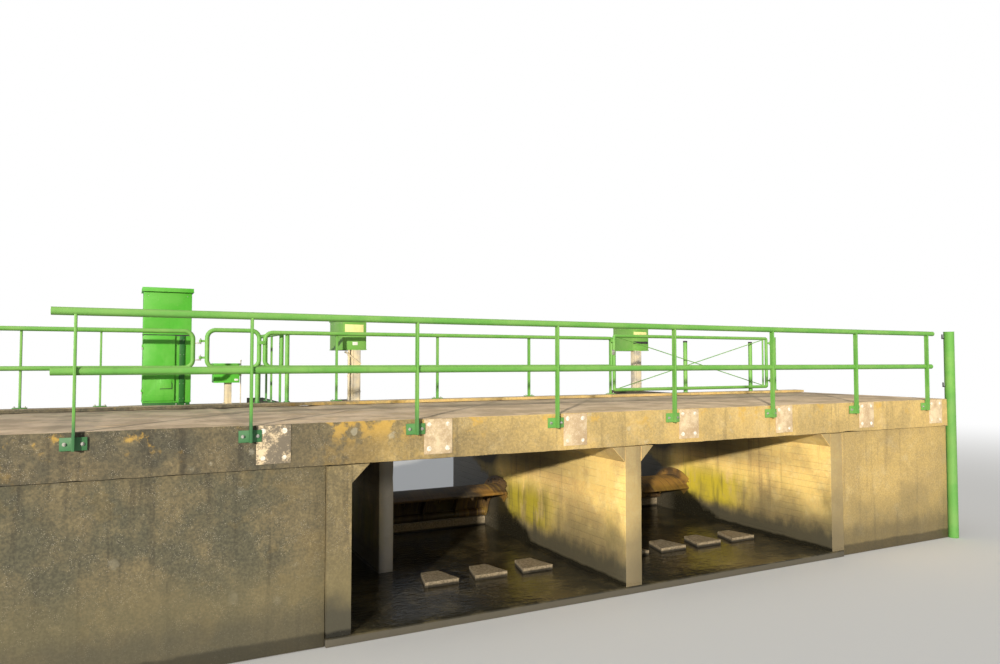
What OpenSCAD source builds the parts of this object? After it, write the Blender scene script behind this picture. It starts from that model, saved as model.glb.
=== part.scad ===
// Sluice bridge: a two-bay concrete weir carrying a narrow deck,
// with green railings, two flap gates, two hung gates and a control cabinet.
// X runs along the deck, Y points upstream and Z points up. Millimetres.
// The floor slab's top is the line where the walls meet the lower water.

/* [Deck] */
// Width of the deck between its two fascias
deck_w = 3250; // [2800:10:4000]
// Thickness of the deck slab, which is the height of the fascia
deck_t = 470; // [350:10:600]
// Clear height from the floor to the underside of the deck
bay_h = 1800; // [1400:10:2200]
// Length of the deck left of the middle pier's centre
deck_left = 8200; // [8180:10:8600]
// Length of the deck right of the middle pier's centre
deck_right = 6680; // [6620:10:7000]
// Height of the low kerb along the upstream edge
kerb_h = 45; // [30:5:90]
// Width of the kerb
kerb_w = 250; // [220:10:300]

/* [Bays] */
// Clear width of one bay
bay_w = 3610; // [3400:10:3800]
// Thickness of the middle pier
pier_t = 260; // [200:10:400]
// Thickness of the bays' side walls
leg_t = 270; // [200:10:400]
// Size of the haunches in the top corners of the bays
haunch = 200; // [100:10:260]
// Thickness of the floor slab
floor_t = 100; // [60:5:200]
// How far the side walls reach upstream of the deck
wall_reach = 2450; // [2420:5:2600]
// Distance that the divider wall runs on upstream of the deck
nose_reach = 1250; // [1220:5:1300]
// Distance that the middle pier runs on upstream of the deck
pier_reach = 2440; // [2300:10:2440]
// Thickness of the divider wall
divider_t = 210; // [160:10:260]
// Width of the side channel left of the divider
channel_w = 960; // [800:10:1100]
// Distance from the downstream fascia to the divider's nose
divider_back = 2045; // [1900:5:2300]

/* [Wing walls] */
// Thickness of the wing walls
wing_t = 300; // [200:10:400]
// How far the wing walls stand back from the fascia
wing_back = 40; // [10:5:80]

/* [Service plinth] */
// How far the plinth reaches out from the upstream fascia
plinth_d = 940; // [900:10:1100]
// Width of the plinth
plinth_w = 1990; // [1950:10:2200]

/* [Baffle blocks] */
// Height of a baffle block
block_h = 70; // [50:5:200]
// Depth of a baffle block along the flow
block_d = 450; // [300:10:600]
// Width of a block's downstream face
block_w = 480; // [400:10:500]
// Width of a block's upstream face
block_back_w = 250; // [200:10:400]
// Distance between block centres
block_pitch = 716; // [700:2:730]
// Distance from the downstream fascia to the blocks
block_back = 1145; // [800:5:1400]
// Distance from the pier's centre to the first block in the left bay
left_blocks_x = 2212; // [2190:2:2300]
// Distance from the pier's centre to the first block in the right bay
right_blocks_x = 910; // [700:5:950]

/* [Flap gates] */
// Outer radius of the curved flap plate
flap_r = 620; // [600:5:640]
// Thickness of the flap plate
flap_t = 20; // [12:1:30]
// Angle where the plate leaves its hinge tube
flap_a0 = 16.6; // [12:0.1:20]
// Angle at the flap's lip
flap_a1 = 137.4; // [130:0.1:140]
// Height of the hinge axis above the floor
flap_hinge_h = 230; // [200:5:300]
// Distance from the upstream fascia to the hinge axis
flap_hinge_out = 919; // [890:1:940]
// Diameter of the hinge tube
flap_tube_d = 140; // [120:5:170]
// Diameter of the hinge pins
flap_pin_d = 58; // [40:1:70]
// Clearance of the pin in its bore, on the radius
flap_pin_play = 0.5; // [0.5:0.5:2]
// Gap between the flap and the walls at its ends
flap_side_gap = 18; // [14:1:30]
// How far the end plates stand out past the plate
flap_rim = 130; // [60:5:140]
// Degrees by which the left flap stands higher than the right one
left_lift = 12; // [0:1:20]
// Thickness of the end plates and ribs
flap_rib_t = 16; // [10:1:25]
// Gap between the flap's hinge tube and the sill under it
sill_gap = 10; // [6:1:30]
// Width of the sill along the flow
sill_w = 230; // [200:10:400]
// Height of the fixed sill in the side channel
channel_sill_h = 600; // [400:10:800]

/* [Front railing] */
// Height of the railings' top tube above the deck
rail_h = 1100; // [900:10:1200]
// Height of the front mid tube above the deck
mid_h = 550; // [400:10:650]
// Diameter of the front tubes
rail_d = 76.1; // [60:0.1:90]
// Distance between front posts
post_pitch = 1815; // [1700:5:1830]
// Width of a flat front post
post_w = 25; // [20:1:50]
// Depth of a flat front post
post_d = 65; // [60:1:90]
// Distance from the first to the second front post
first_pitch = 1552; // [1400:2:1700]
// Length of the tube past the first front post
rail_tail_left = 195; // [120:5:300]
// Length of the tube past the last front post
rail_tail_right = 164; // [100:2:300]
// Width of the base plates on the fascia
plate_w = 225; // [180:5:280]
// Height of the base plates
plate_h = 122; // [100:2:160]
// Thickness of the base plates
plate_t = 15; // [8:1:20]
// Distance from the deck down to the base plates
plate_drop = 56; // [20:2:120]

/* [Rear railing] */
// Diameter of the rear tubes
tube_d = 60.3; // [48:0.1:76]
// Height of the rear top tube above the deck
rear_h = 1052; // [900:2:1200]
// Height of the rear lower tube above the deck
rear_mid_h = 550; // [400:10:650]
// Corner radius of the rear panels
loop_r = 110; // [80:5:160]
// Distance from the upstream fascia in to the rear tubes
rear_in = 95; // [90:1:110]
// Width of a flat rear post
bar_w = 25; // [20:1:40]
// Depth of a flat rear post
bar_d = 62; // [50:1:70]
// Diameter of the guard posts behind the field gate
guard_d = 76.1; // [60:0.1:90]
// Height of the guard posts above the deck
guard_h = 1020; // [900:10:1100]

/* [Hung gates] */
// Length of the service gate between its tube centres
service_len = 696; // [650:2:720]
// Height of both hung gates' top tubes above the deck
gate_h = 1075; // [1000:5:1150]
// Length of the field gate between its tube centres
field_len = 3766; // [3700:2:3800]
// Height of the field gate's bottom tube above the deck
field_low_h = 125; // [100:5:200]
// Corner radius of the field gate
field_r = 32; // [31:1:60]
// Diameter of the crossing rods in the field gate
brace_d = 16; // [10:1:25]
// Clearance of the gate pins in their eyes, on the radius
pin_play = 1; // [0.5:0.5:2]
// Diameter of the field gate's hinge post
hinge_post_d = 88.9; // [76:0.1:120]
// Diameter of the big round gate post
round_post_d = 165.1; // [140:0.1:200]
// Height of the round post above the deck
round_post_h = 1140; // [1000:10:1300]

/* [Cabinet] */
// Width of the cabinet
cab_w = 630; // [500:10:700]
// Depth of the cabinet
cab_d = 400; // [300:10:450]
// Height of the cabinet's body
cab_h = 1580; // [1400:10:1800]
// Thickness of the cabinet's walls
cab_wall = 25; // [15:1:40]
// Width of the cabinet door
door_w = 412; // [380:2:430]
// Height of the cabinet door
door_h = 925; // [800:5:1000]
// Gap between the door and the body
door_gap = 5; // [5:1:10]

/* [Drive housings] */
// Length of a drive housing
drive_len = 800; // [700:10:830]
// Width of a drive housing
drive_w = 370; // [300:10:420]
// Height of a drive housing
drive_h = 480; // [350:10:500]
// Height of a housing's underside above the deck
drive_up = 815; // [700:5:900]
// Width of a housing's square column
column_w = 140; // [100:5:160]
// Distance from the upstream fascia to the right column
far_drive_out = 1735; // [1500:5:1740]

/* [Hidden] */
$fn = 64;

front = -deck_w / 2;
rear = deck_w / 2;
soffit = floor_t + bay_h;
top = soffit + deck_t;
bay_in = pier_t / 2;
bay_out = bay_in + bay_w;
leg_out = bay_out + leg_t;
walls_end = rear + wall_reach;
nose_end = rear + nose_reach;
pier_end = rear + pier_reach;

divider_x = -bay_out + channel_w;
divider_front = front + divider_back;

front_rail_y = front - 50;
mid_rail_y = front - plate_t;
post_x0 = -6349;
post_x1 = post_x0 + first_pitch;
post_count = 7;
post_nudges = [0, -38, -19, 6, 13, 11, -33];
front_post_xs = concat([post_x0],
    [for (i = [0:post_count - 1]) post_x1 + i * post_pitch + post_nudges[i]]);
rail_x0 = post_x0 - rail_tail_left;
rail_x1 = front_post_xs[post_count] + rail_tail_right;

rear_rail_y = rear - rear_in;
bar_y = rear_rail_y + 18;
rail_foot = top + kerb_h;
service_x = -4913;
left_panel_x1 = service_x - 183;
left_panel_x0 = -deck_left + 110;
service_pin_x = service_x - 88;
long_panel_x0 = service_x + service_len + 80;
long_panel_x1 = 1925;
field_x0 = long_panel_x1 - 2;
field_x1 = field_x0 + field_len;
field_y = rear_rail_y - guard_d / 2 - 10 - tube_d / 2;
field_pin_x = field_x1 + 98;
hinge_post_x = field_pin_x + 198;
hinge_post_y = rear_rail_y;
rear_bar_xs = [left_panel_x0 + 150, -7100, -6212, -3083, -1447, 237, long_panel_x1 + 10];
rear_round_x = -3812;
rest_post_x = service_x + service_len - 18;
guard_xs = [3641, 5328];
fence_x = -bay_out - leg_t / 2;
fence_ys = [rear + 149, rear + 873, rear + 1323, rear + 1975];
fence_tail = 90;

flap_pin_y = rear + flap_hinge_out;
flap_pin_z = floor_t + flap_hinge_h;
flap_mid_r = flap_r - flap_tube_d / 2 + 11;
flap_cy = flap_pin_y - flap_mid_r * cos(flap_a0);
flap_cz = flap_pin_z - flap_mid_r * sin(flap_a0);

cab_x = -5705;
cab_y = rear + 435;
cab_z = top + 50;
door_z = cab_z + 30;

round_post_x = deck_right + round_post_d / 2;
round_post_y = front + 5;

// The part's own frame is centred on its overall length and width.
x_min = -deck_left;
x_max = round_post_x + round_post_d / 2 + 3;
y_min = front_rail_y - rail_d / 2;
y_max = walls_end;

concrete = [0.66, 0.62, 0.54];
green = [0.36, 0.62, 0.42];
dark_green = [0.16, 0.38, 0.30];
steel = [0.42, 0.36, 0.30];
zinc = [0.72, 0.73, 0.74];

module in_frame() {
    translate([-(x_min + x_max) / 2, -(y_min + y_max) / 2, 0]) children();
}

// A block given by its two opposite corners.
module block(low, high) {
    translate(low) cube(high - low);
}

// A flat outline drawn in Y and Z, made solid along X.
module along_x(x0, x1) {
    translate([x0, 0, 0]) rotate([90, 0, 90]) linear_extrude(x1 - x0) children();
}

module tube_x(x0, x1, y, z, d) {
    translate([x0, y, z]) rotate([0, 90, 0]) cylinder(d = d, h = x1 - x0);
}

module tube_z(x, y, z0, z1, d) {
    translate([x, y, z0]) cylinder(d = d, h = z1 - z0);
}

// A quarter bend of tube about the origin, in X and Z, from X towards Z.
module bend(r, d) {
    rotate([90, 0, 0]) rotate_extrude(angle = 90) translate([r, 0]) circle(d = d);
}

// A closed loop of tube in X and Z, given by its centre lines. Its corners
// have radius r at x0 and q at x1.
module loop(x0, x1, z0, z1, r, q, d) {
    for (z = [z0, z1]) tube_x(x0 + r, x1 - q, 0, z, d);
    tube_z(x0, 0, z0 + r, z1 - r, d);
    tube_z(x1, 0, z0 + q, z1 - q, d);
    translate([x1 - q, 0, z1 - q]) bend(q, d);
    translate([x0 + r, 0, z1 - r]) rotate([0, -90, 0]) bend(r, d);
    translate([x0 + r, 0, z0 + r]) rotate([0, 180, 0]) bend(r, d);
    translate([x1 - q, 0, z0 + q]) rotate([0, 90, 0]) bend(q, d);
}

module floor_slab() {
    color(concrete) block([-leg_out, front, 0], [leg_out, walls_end, floor_t]);
}

module deck_slab() {
    color(concrete) block([-deck_left, front, soffit], [deck_right, rear, top]);
}

module rear_kerb() {
    color(concrete) block([-deck_left, rear - kerb_w, top], [deck_right, rear, top + kerb_h]);
}

// One triangular haunch: its corner is at x, and it reaches towards side.
module haunch_at(x, side) {
    translate([x, rear, soffit]) rotate([90, 0, 0]) linear_extrude(deck_w)
        polygon([[0, 0], [side * haunch, 0], [0, -haunch]]);
}

module haunches() {
    color(concrete) {
        haunch_at(-bay_out, 1);
        haunch_at(-bay_in, -1);
        haunch_at(bay_in, 1);
        haunch_at(bay_out, -1);
    }
}

module middle_pier() {
    color(concrete) {
        block([-bay_in, front, floor_t], [bay_in, pier_end - bay_in, soffit]);
        tube_z(0, pier_end - bay_in, floor_t, soffit, pier_t);
    }
}

// A side wall with its outer face at x: low under the deck, then up to deck level.
module side_wall(x0, x1) {
    color(concrete) {
        block([x0, front, floor_t], [x1, rear, soffit]);
        block([x0, rear, floor_t], [x1, walls_end, top]);
    }
}

module left_side_wall() side_wall(-leg_out, -bay_out);

module right_side_wall() side_wall(bay_out, leg_out);

module divider_wall() {
    color(concrete) {
        block([divider_x, divider_front, floor_t], [divider_x + divider_t, rear, soffit]);
        block([divider_x, rear, floor_t], [divider_x + divider_t, nose_end, top]);
    }
}

module wing_wall(x0, x1, y) {
    color(concrete) block([x0, y, 0], [x1, y + wing_t, soffit]);
}

module left_front_wing_wall() wing_wall(-deck_left, -leg_out, front + wing_back);

module right_front_wing_wall() wing_wall(leg_out, deck_right, front + wing_back);

module left_rear_wing_wall() wing_wall(-deck_left, -leg_out, rear - wing_back - wing_t);

module right_rear_wing_wall() wing_wall(leg_out, deck_right, rear - wing_back - wing_t);

module end_walls() {
    y0 = front + wing_back + wing_t;
    y1 = rear - wing_back - wing_t;
    color(concrete) {
        block([-deck_left, y0, 0], [-deck_left + wing_t, y1, soffit]);
        block([deck_right - wing_t, y0, 0], [deck_right, y1, soffit]);
    }
}

module service_plinth() {
    color(concrete) block([-leg_out - plinth_w, rear, 0], [-leg_out, rear + plinth_d, top]);
}

module gate_sills() {
    y0 = flap_pin_y - 20;
    z1 = flap_pin_z - flap_tube_d / 2 - sill_gap;
    color(concrete) {
        block([divider_x + divider_t, y0, floor_t], [-bay_in, y0 + sill_w, z1]);
        block([bay_in, y0, floor_t], [bay_out, y0 + sill_w, z1]);
        block([-bay_out, y0, floor_t], [divider_x, y0 + sill_w, floor_t + channel_sill_h]);
    }
}

module baffle_blocks(first, count) {
    color(concrete)
    for (i = [0:count - 1])
        translate([first + i * block_pitch, front + block_back, floor_t])
            linear_extrude(block_h)
                polygon([[-block_w / 2, 0], [block_w / 2, 0],
                         [block_back_w / 2, block_d], [-block_back_w / 2, block_d]]);
}

module left_baffle_blocks() baffle_blocks(-left_blocks_x, 3);

module right_baffle_blocks() baffle_blocks(right_blocks_x, 4);

module front_top_rail() {
    color(green) tube_x(rail_x0, rail_x1, front_rail_y, top + rail_h, rail_d);
}

module front_mid_rail() {
    color(green) tube_x(rail_x0, rail_x1, mid_rail_y, top + mid_h, rail_d);
}

// Flat posts on base plates, cut to seat both tubes.
module front_posts() {
    z0 = top - plate_drop - plate_h;
    y0 = front - plate_t - post_d;
    color(green)
    difference() {
        for (x = front_post_xs) {
            block([x - post_w / 2, y0, z0], [x + post_w / 2, y0 + post_d, top + rail_h]);
            block([x - plate_w / 2, front - plate_t, z0], [x + plate_w / 2, front, z0 + plate_h]);
        }
        tube_x(rail_x0, rail_x1, front_rail_y, top + rail_h, rail_d);
        tube_x(rail_x0, rail_x1, mid_rail_y, top + mid_h, rail_d);
    }
}

module rear_panel(x0, x1, q) {
    color(green) translate([0, rear_rail_y, 0])
        loop(x0, x1, top + rear_mid_h, top + rear_h, loop_r, q, tube_d);
}

module rear_left_panel() rear_panel(left_panel_x0, left_panel_x1, loop_r);

module rear_long_panel() rear_panel(long_panel_x0, long_panel_x1, 32);

// Flat posts behind the tubes, on plates on the kerb, cut to seat the tubes. The last
// one stands behind the panel's end tube. One post is round, and a short round one
// holds up the service gate's free end.
module rear_posts() {
    y = bar_y + bar_d / 2;
    color(green)
    difference() {
        union() {
            for (x = rear_bar_xs) {
                near = x > long_panel_x1 ? rear_rail_y + tube_d / 2 : bar_y;
                block([x - bar_w / 2, near, rail_foot], [x + bar_w / 2, bar_y + bar_d, top + rear_h]);
                block([x - 80, y - 45, rail_foot], [x + 80, y + 45, rail_foot + 10]);
            }
            tube_z(rear_round_x, y, rail_foot, top + rear_h, tube_d);
            tube_z(rear_round_x, y, rail_foot, rail_foot + 10, 90);
            tube_z(rest_post_x, rear_rail_y, rail_foot, top + rear_mid_h - tube_d / 2 - 10, tube_d);
            tube_z(rest_post_x, rear_rail_y, rail_foot, rail_foot + 10, 100);
        }
        for (z = [rear_mid_h, rear_h])
            tube_x(-deck_left, deck_right, rear_rail_y, top + z, tube_d);
    }
}

module guard_posts() {
    color(green) for (x = guard_xs) {
        tube_z(x, rear_rail_y, rail_foot, rail_foot + 10, guard_d + 8);
        tube_z(x, rear_rail_y, rail_foot, top + guard_h, guard_d);
    }
}

module upstream_fence() {
    color(green) translate([fence_x, 0, 0]) rotate([0, 0, 90])
        loop(fence_ys[0] - fence_tail, fence_ys[3] + fence_tail,
             top + rear_mid_h, top + rear_h, loop_r / 2, loop_r / 2, tube_d);
}

module upstream_fence_posts() {
    color(green)
    difference() {
        for (y = fence_ys) {
            block([fence_x - bar_w / 2, y - bar_d / 2, top],
                  [fence_x + bar_w / 2, y + bar_d / 2, top + rear_h]);
            block([fence_x - 45, y - 70, top], [fence_x + 45, y + 70, top + 10]);
        }
        for (z = [rear_mid_h, rear_h])
            translate([fence_x, rear, top + z]) rotate([-90, 0, 0]) cylinder(d = tube_d, h = 3000);
    }
}

// A pin on an arm, for a gate eye to hang on. The eye's underside is at z.
module hook(from, pin, z, d, rise) {
    hull() {
        translate([from[0], from[1], z - 21]) cylinder(d = 24, h = 20, $fn = 32);
        translate([pin[0], pin[1], z - 21]) cylinder(d = 24, h = 20, $fn = 32);
    }
    tube_z(pin[0], pin[1], z - 11, z + rise, d);
}

field_eye_zs = [top + 225, top + 985];
service_eye_zs = [top + 670, top + 900];
field_pin_d = 24;
service_pin_d = 18;

module field_hinge_post() {
    color(green) {
        tube_z(hinge_post_x, hinge_post_y, rail_foot, top + 1120, hinge_post_d);
        tube_z(hinge_post_x, hinge_post_y, rail_foot, rail_foot + 12, hinge_post_d + 60);
        tube_z(hinge_post_x, hinge_post_y, top + 1120, top + 1128, hinge_post_d + 6);
    }
}

// The hooks that both hung gates turn on, cut to seat their posts.
module gate_hooks() {
    color(zinc)
    difference() {
        union() {
            for (z = field_eye_zs)
                hook([hinge_post_x - 25, hinge_post_y - 30], [field_pin_x, field_y], z, field_pin_d, 70);
            for (z = service_eye_zs)
                hook([left_panel_x1 + 20, rear_rail_y], [service_pin_x, rear_rail_y],
                     z, service_pin_d, 60);
        }
        tube_z(hinge_post_x, hinge_post_y, top, top + 1120, hinge_post_d);
        tube_z(left_panel_x1, rear_rail_y, top, top + rear_h, tube_d);
    }
}

module round_gate_post() {
    color(green) {
        tube_z(round_post_x, round_post_y, 0, top + round_post_h, round_post_d);
        tube_z(round_post_x, round_post_y, top + round_post_h, top + round_post_h + 8, round_post_d + 6);
    }
}

module round_post_hooks() {
    color(steel)
    difference() {
        for (z = [top + 214, top + 1042])
            hook([round_post_x - 52, round_post_y + 30], [round_post_x - 97, round_post_y + 57],
                 z, field_pin_d, 60);
        tube_z(round_post_x, round_post_y, top, top + round_post_h, round_post_d);
    }
}

module cabinet_base() {
    color(dark_green)
        block([cab_x + 10, cab_y + 10, top], [cab_x + cab_w - 10, cab_y + cab_d - 10, cab_z]);
}

module cabinet_body() {
    color(green)
    difference() {
        block([cab_x, cab_y, cab_z], [cab_x + cab_w, cab_y + cab_d, cab_z + cab_h]);
        block([cab_x + cab_wall, cab_y + cab_wall, cab_z + cab_wall],
              [cab_x + cab_w - cab_wall, cab_y + cab_d - cab_wall, cab_z + cab_h - cab_wall]);
        block([cab_x + cab_wall, cab_y - 1, door_z + cab_wall],
              [cab_x + door_w - cab_wall, cab_y + cab_wall + 1, door_z + door_h - cab_wall]);
    }
}

module cabinet_roof() {
    z = cab_z + cab_h;
    color(green) block([cab_x - 20, cab_y - 45, z], [cab_x + cab_w + 20, cab_y + cab_d + 20, z + 55]);
}

module cable_cover() {
    x = cab_x + door_w + 59;
    color(dark_green) block([x, cab_y - 20, cab_z], [x + 70, cab_y, cab_z + door_h + 30]);
}

door_pin_x = cab_x - 8;
door_pin_y = cab_y - door_gap - 12;
door_eye_zs = [door_z + 130, door_z + door_h - 170];

module cabinet_hinges() {
    color(zinc) for (z = door_eye_zs) {
        tube_z(door_pin_x, door_pin_y, z - 11, z + 45, 8);
        tube_z(door_pin_x, door_pin_y, z - 31, z - 1, 18);
        block([cab_x - 14, door_pin_y, z - 31], [cab_x, cab_y + 30, z - 1]);
    }
}

module cabinet_door() {
    y = cab_y - door_gap - 24;
    color(green) {
        difference() {
            union() {
                block([cab_x + 6, y, door_z], [cab_x + door_w, y + 24, door_z + door_h]);
                for (z = door_eye_zs) {
                    tube_z(door_pin_x, door_pin_y, z, z + 40, 18);
                    block([door_pin_x, door_pin_y - 6, z], [cab_x + 8, door_pin_y + 6, z + 40]);
                }
            }
            for (z = door_eye_zs) tube_z(door_pin_x, door_pin_y, z - 1, z + 41, 9);
        }
        block([cab_x + 220, y - 10, door_z + 175], [cab_x + 375, y, door_z + 303]);
    }
}

level_x = cab_x + 1134;
level_y = rear + 690;

module level_box_column() {
    x = level_x + 32;
    color(zinc) block([x - 48, level_y - 48, top], [x + 48, level_y + 48, top + 320]);
}

module level_box() {
    color(green) {
        block([level_x - 180, level_y - 140, top + 320], [level_x + 180, level_y + 140, top + 590]);
        block([level_x - 190, level_y - 150, top + 590], [level_x + 190, level_y + 150, top + 608]);
    }
}

// A housing with a thin overhanging lid. Its size is [width, length, height], and
// its near lower edge starts at the origin.
module drive_box(size) {
    block([-size[0] / 2, 0, 0], [size[0] / 2, size[1], size[2] - 25]);
    block([-size[0] / 2 - 12, -12, size[2] - 25], [size[0] / 2 + 12, size[1] + 12, size[2]]);
}

module drive_column(at, w, high) {
    translate(at) {
        block([-w / 2, -w / 2, 0], [w / 2, w / 2, high]);
        block([-w / 2 - 25, -w / 2 - 25, 0], [w / 2 + 25, w / 2 + 25, 15]);
    }
}

// The right drive stands on its own wall and is a little larger than the left.
left_drive = [divider_x + divider_t / 2 - 50, rear + 220, top];
right_drive = [bay_out + leg_t / 2, rear + far_drive_out, top];
left_drive_size = [drive_w, drive_len, drive_h];
right_drive_size = [drive_w + 50, drive_len - 100, drive_h + 50];
right_drive_up = drive_up + 45;

module drive_columns() {
    color(zinc) {
        drive_column(left_drive, column_w, drive_up);
        drive_column(right_drive, column_w + 20, right_drive_up);
    }
}

module drive_housings() {
    color(green) {
        translate(left_drive + [-23, -60, drive_up]) drive_box(left_drive_size);
        translate(right_drive + [85, -50, right_drive_up]) drive_box(right_drive_size);
    }
}

// A ring sector about the flap's arc centre, in Y and Z.
module ring_sector(r0, r1, a0, a1) {
    translate([flap_cy, flap_cz])
    intersection() {
        difference() {
            circle(r = r1, $fn = 128);
            circle(r = r0, $fn = 128);
        }
        polygon([[0, 0], 1.5 * r1 * [cos(a0), sin(a0)],
                 1.5 * r1 * [cos((a0 + a1) / 2), sin((a0 + a1) / 2)],
                 1.5 * r1 * [cos(a1), sin(a1)]]);
    }
}

// A curved flap on a hinge tube, with end plates and ribs, bored for its pins.
module flap(x0, x1, ribs, lift) {
    span = x1 - x0;
    color(steel)
    translate([0, flap_pin_y, flap_pin_z]) rotate([-lift, 0, 0])
    translate([0, -flap_pin_y, -flap_pin_z])
    difference() {
        union() {
            along_x(x0, x1) ring_sector(flap_r - flap_t, flap_r, flap_a0, flap_a1);
            tube_x(x0, x1, flap_pin_y, flap_pin_z, flap_tube_d);
            for (x = [x0, x1 - flap_rib_t])
                along_x(x, x + flap_rib_t) {
                    ring_sector(flap_r - 200, flap_r, flap_a0, flap_a1);
                    ring_sector(flap_r - 5, flap_r + flap_rim, flap_a0 + 8, flap_a1 - 10);
                }
            for (i = [1:ribs])
                along_x(x0 + i * span / (ribs + 1), x0 + i * span / (ribs + 1) + flap_rib_t)
                    ring_sector(flap_r - 140, flap_r - flap_t / 2, flap_a0, flap_a1 - 5);
        }
        for (x = [x0 - 1, x1 - 130])
            tube_x(x, x + 131, flap_pin_y, flap_pin_z, flap_pin_d + 2 * flap_pin_play);
    }
}

left_flap_x = [divider_x + divider_t + flap_side_gap, -bay_in - flap_side_gap];
right_flap_x = [bay_in + flap_side_gap, bay_out - flap_side_gap];

module left_flap() flap(left_flap_x[0], left_flap_x[1], 3, left_lift);

module right_flap() flap(right_flap_x[0], right_flap_x[1], 5, 0);

// A pin with its flange on a wall at x, reaching towards side.
module flap_pin(x, side) {
    reach = flap_side_gap + 110;
    translate([x, flap_pin_y, flap_pin_z]) rotate([0, side * 90, 0]) {
        cylinder(d = flap_pin_d, h = reach);
        cylinder(d = flap_tube_d + 20, h = 8);
    }
}

module flap_pins() {
    color(zinc) {
        flap_pin(divider_x + divider_t, 1);
        flap_pin(-bay_in, -1);
        flap_pin(bay_in, 1);
        flap_pin(bay_out, -1);
    }
}

// An eye with an arm reaching towards a gate's end tube.
module eye(pin, to_x, z, d, pin_d) {
    difference() {
        union() {
            tube_z(pin[0], pin[1], z, z + 40, d);
            block([min(pin[0], to_x), pin[1] - 7, z + 5], [max(pin[0], to_x), pin[1] + 7, z + 35]);
        }
        tube_z(pin[0], pin[1], z - 1, z + 41, pin_d + 2 * pin_play);
    }
}

module service_gate() {
    x1 = service_x + service_len;
    latch_y = rear_rail_y - tube_d / 2 - 18;
    color(green) {
        translate([0, rear_rail_y, 0])
            loop(service_x, x1, top + rear_mid_h, top + gate_h, loop_r, loop_r, tube_d);
        for (z = service_eye_zs)
            eye([service_pin_x, rear_rail_y], service_x, z, 36, service_pin_d);
        block([x1 - 12, latch_y, top + 880], [x1 + 12, rear_rail_y - 20, top + 930]);
        block([x1 - 12, latch_y, top + 880], [x1 + 86, latch_y + 12, top + 930]);
    }
}

module field_gate() {
    z0 = top + field_low_h;
    z1 = top + gate_h + 20;
    lean = atan((z1 - z0) / field_len);
    brace = sqrt(pow(z1 - z0, 2) + pow(field_len, 2)) - 60;
    color(green) {
        translate([0, field_y, 0]) {
            loop(field_x0, field_x1, z0, z1, field_r, field_r, tube_d);
            tube_z(field_x1 - 98, 0, z0, z1, 33.7);
        }
        for (side = [-1, 1])
            translate([(field_x0 + field_x1) / 2, field_y, (z0 + z1) / 2])
                rotate([0, 90 + side * lean, 0]) cylinder(d = brace_d, h = brace, center = true);
        for (z = field_eye_zs)
            eye([field_pin_x, field_y], field_x1, z, 46, field_pin_d);
        block([field_x0 - tube_d / 2 - 40, field_y - 8, top + 985],
              [field_x0, field_y + 8, top + 1035]);
    }
}

in_frame() {
    floor_slab();
    deck_slab();
    rear_kerb();
    haunches();
    middle_pier();
    left_side_wall();
    right_side_wall();
    divider_wall();
    left_front_wing_wall();
    right_front_wing_wall();
    left_rear_wing_wall();
    right_rear_wing_wall();
    end_walls();
    service_plinth();
    gate_sills();
    left_baffle_blocks();
    right_baffle_blocks();
    front_top_rail();
    front_mid_rail();
    front_posts();
    rear_left_panel();
    rear_long_panel();
    rear_posts();
    guard_posts();
    upstream_fence();
    upstream_fence_posts();
    field_hinge_post();
    gate_hooks();
    round_gate_post();
    round_post_hooks();
    cabinet_base();
    cabinet_body();
    cabinet_roof();
    cable_cover();
    cabinet_hinges();
    level_box();
    level_box_column();
    drive_housings();
    drive_columns();
    flap_pins();
    left_flap();
    right_flap();
    service_gate();
    field_gate();
    cabinet_door();
}
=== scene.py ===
# %% [markdown]
# The sluice bridge is built around a frame that comes from the CAD model. The frame
# gives every solid in metres, in its final place, so no solid is placed here by eye.

# %% Load the frame
import math

import bmesh
import bpy
from mathutils import Matrix, Vector, noise


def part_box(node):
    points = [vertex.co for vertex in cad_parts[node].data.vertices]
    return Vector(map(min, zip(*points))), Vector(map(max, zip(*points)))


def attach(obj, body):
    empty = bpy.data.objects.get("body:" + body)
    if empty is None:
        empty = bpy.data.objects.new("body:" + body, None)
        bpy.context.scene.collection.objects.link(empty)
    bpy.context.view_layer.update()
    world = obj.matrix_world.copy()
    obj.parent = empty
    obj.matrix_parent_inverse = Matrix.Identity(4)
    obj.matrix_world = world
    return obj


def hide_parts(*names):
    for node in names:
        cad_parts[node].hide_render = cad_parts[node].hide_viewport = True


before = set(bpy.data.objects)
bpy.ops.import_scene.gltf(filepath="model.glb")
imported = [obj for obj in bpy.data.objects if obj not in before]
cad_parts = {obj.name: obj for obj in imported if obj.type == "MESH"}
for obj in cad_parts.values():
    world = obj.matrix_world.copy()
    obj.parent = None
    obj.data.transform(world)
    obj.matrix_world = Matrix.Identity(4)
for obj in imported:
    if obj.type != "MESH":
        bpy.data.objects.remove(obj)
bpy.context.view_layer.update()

# %% [markdown]
# The camera and the finishes are placed from the middle of the pier and of the deck,
# with the height above the floor slab's underside, because the bridge was measured so.
# The two boxes below give that point in the frame.

# %% Places on the bridge
pier_low, pier_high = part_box("middle_pier")
deck_low, deck_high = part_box("deck_slab")
MID = Vector(((pier_low.x + pier_high.x) / 2, (deck_low.y + deck_high.y) / 2, 0))
FRONT, TOP, SOFFIT = deck_low.y, deck_high.z, deck_low.z
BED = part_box("floor_slab")[1].z


def at(x, y, z):
    """A point in the frame, from its place beside the pier's centre."""
    return MID + Vector((x, y, z))


print("pier centre", [round(v, 4) for v in MID], "deck top", round(TOP, 3))

# %% [markdown]
# The camera stands downstream, left of the bridge's middle and a little above its deck.
# Its place, direction and lens come from the vanishing points of the deck line and of
# the bay walls, with the railing's height as the scale.

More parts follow.
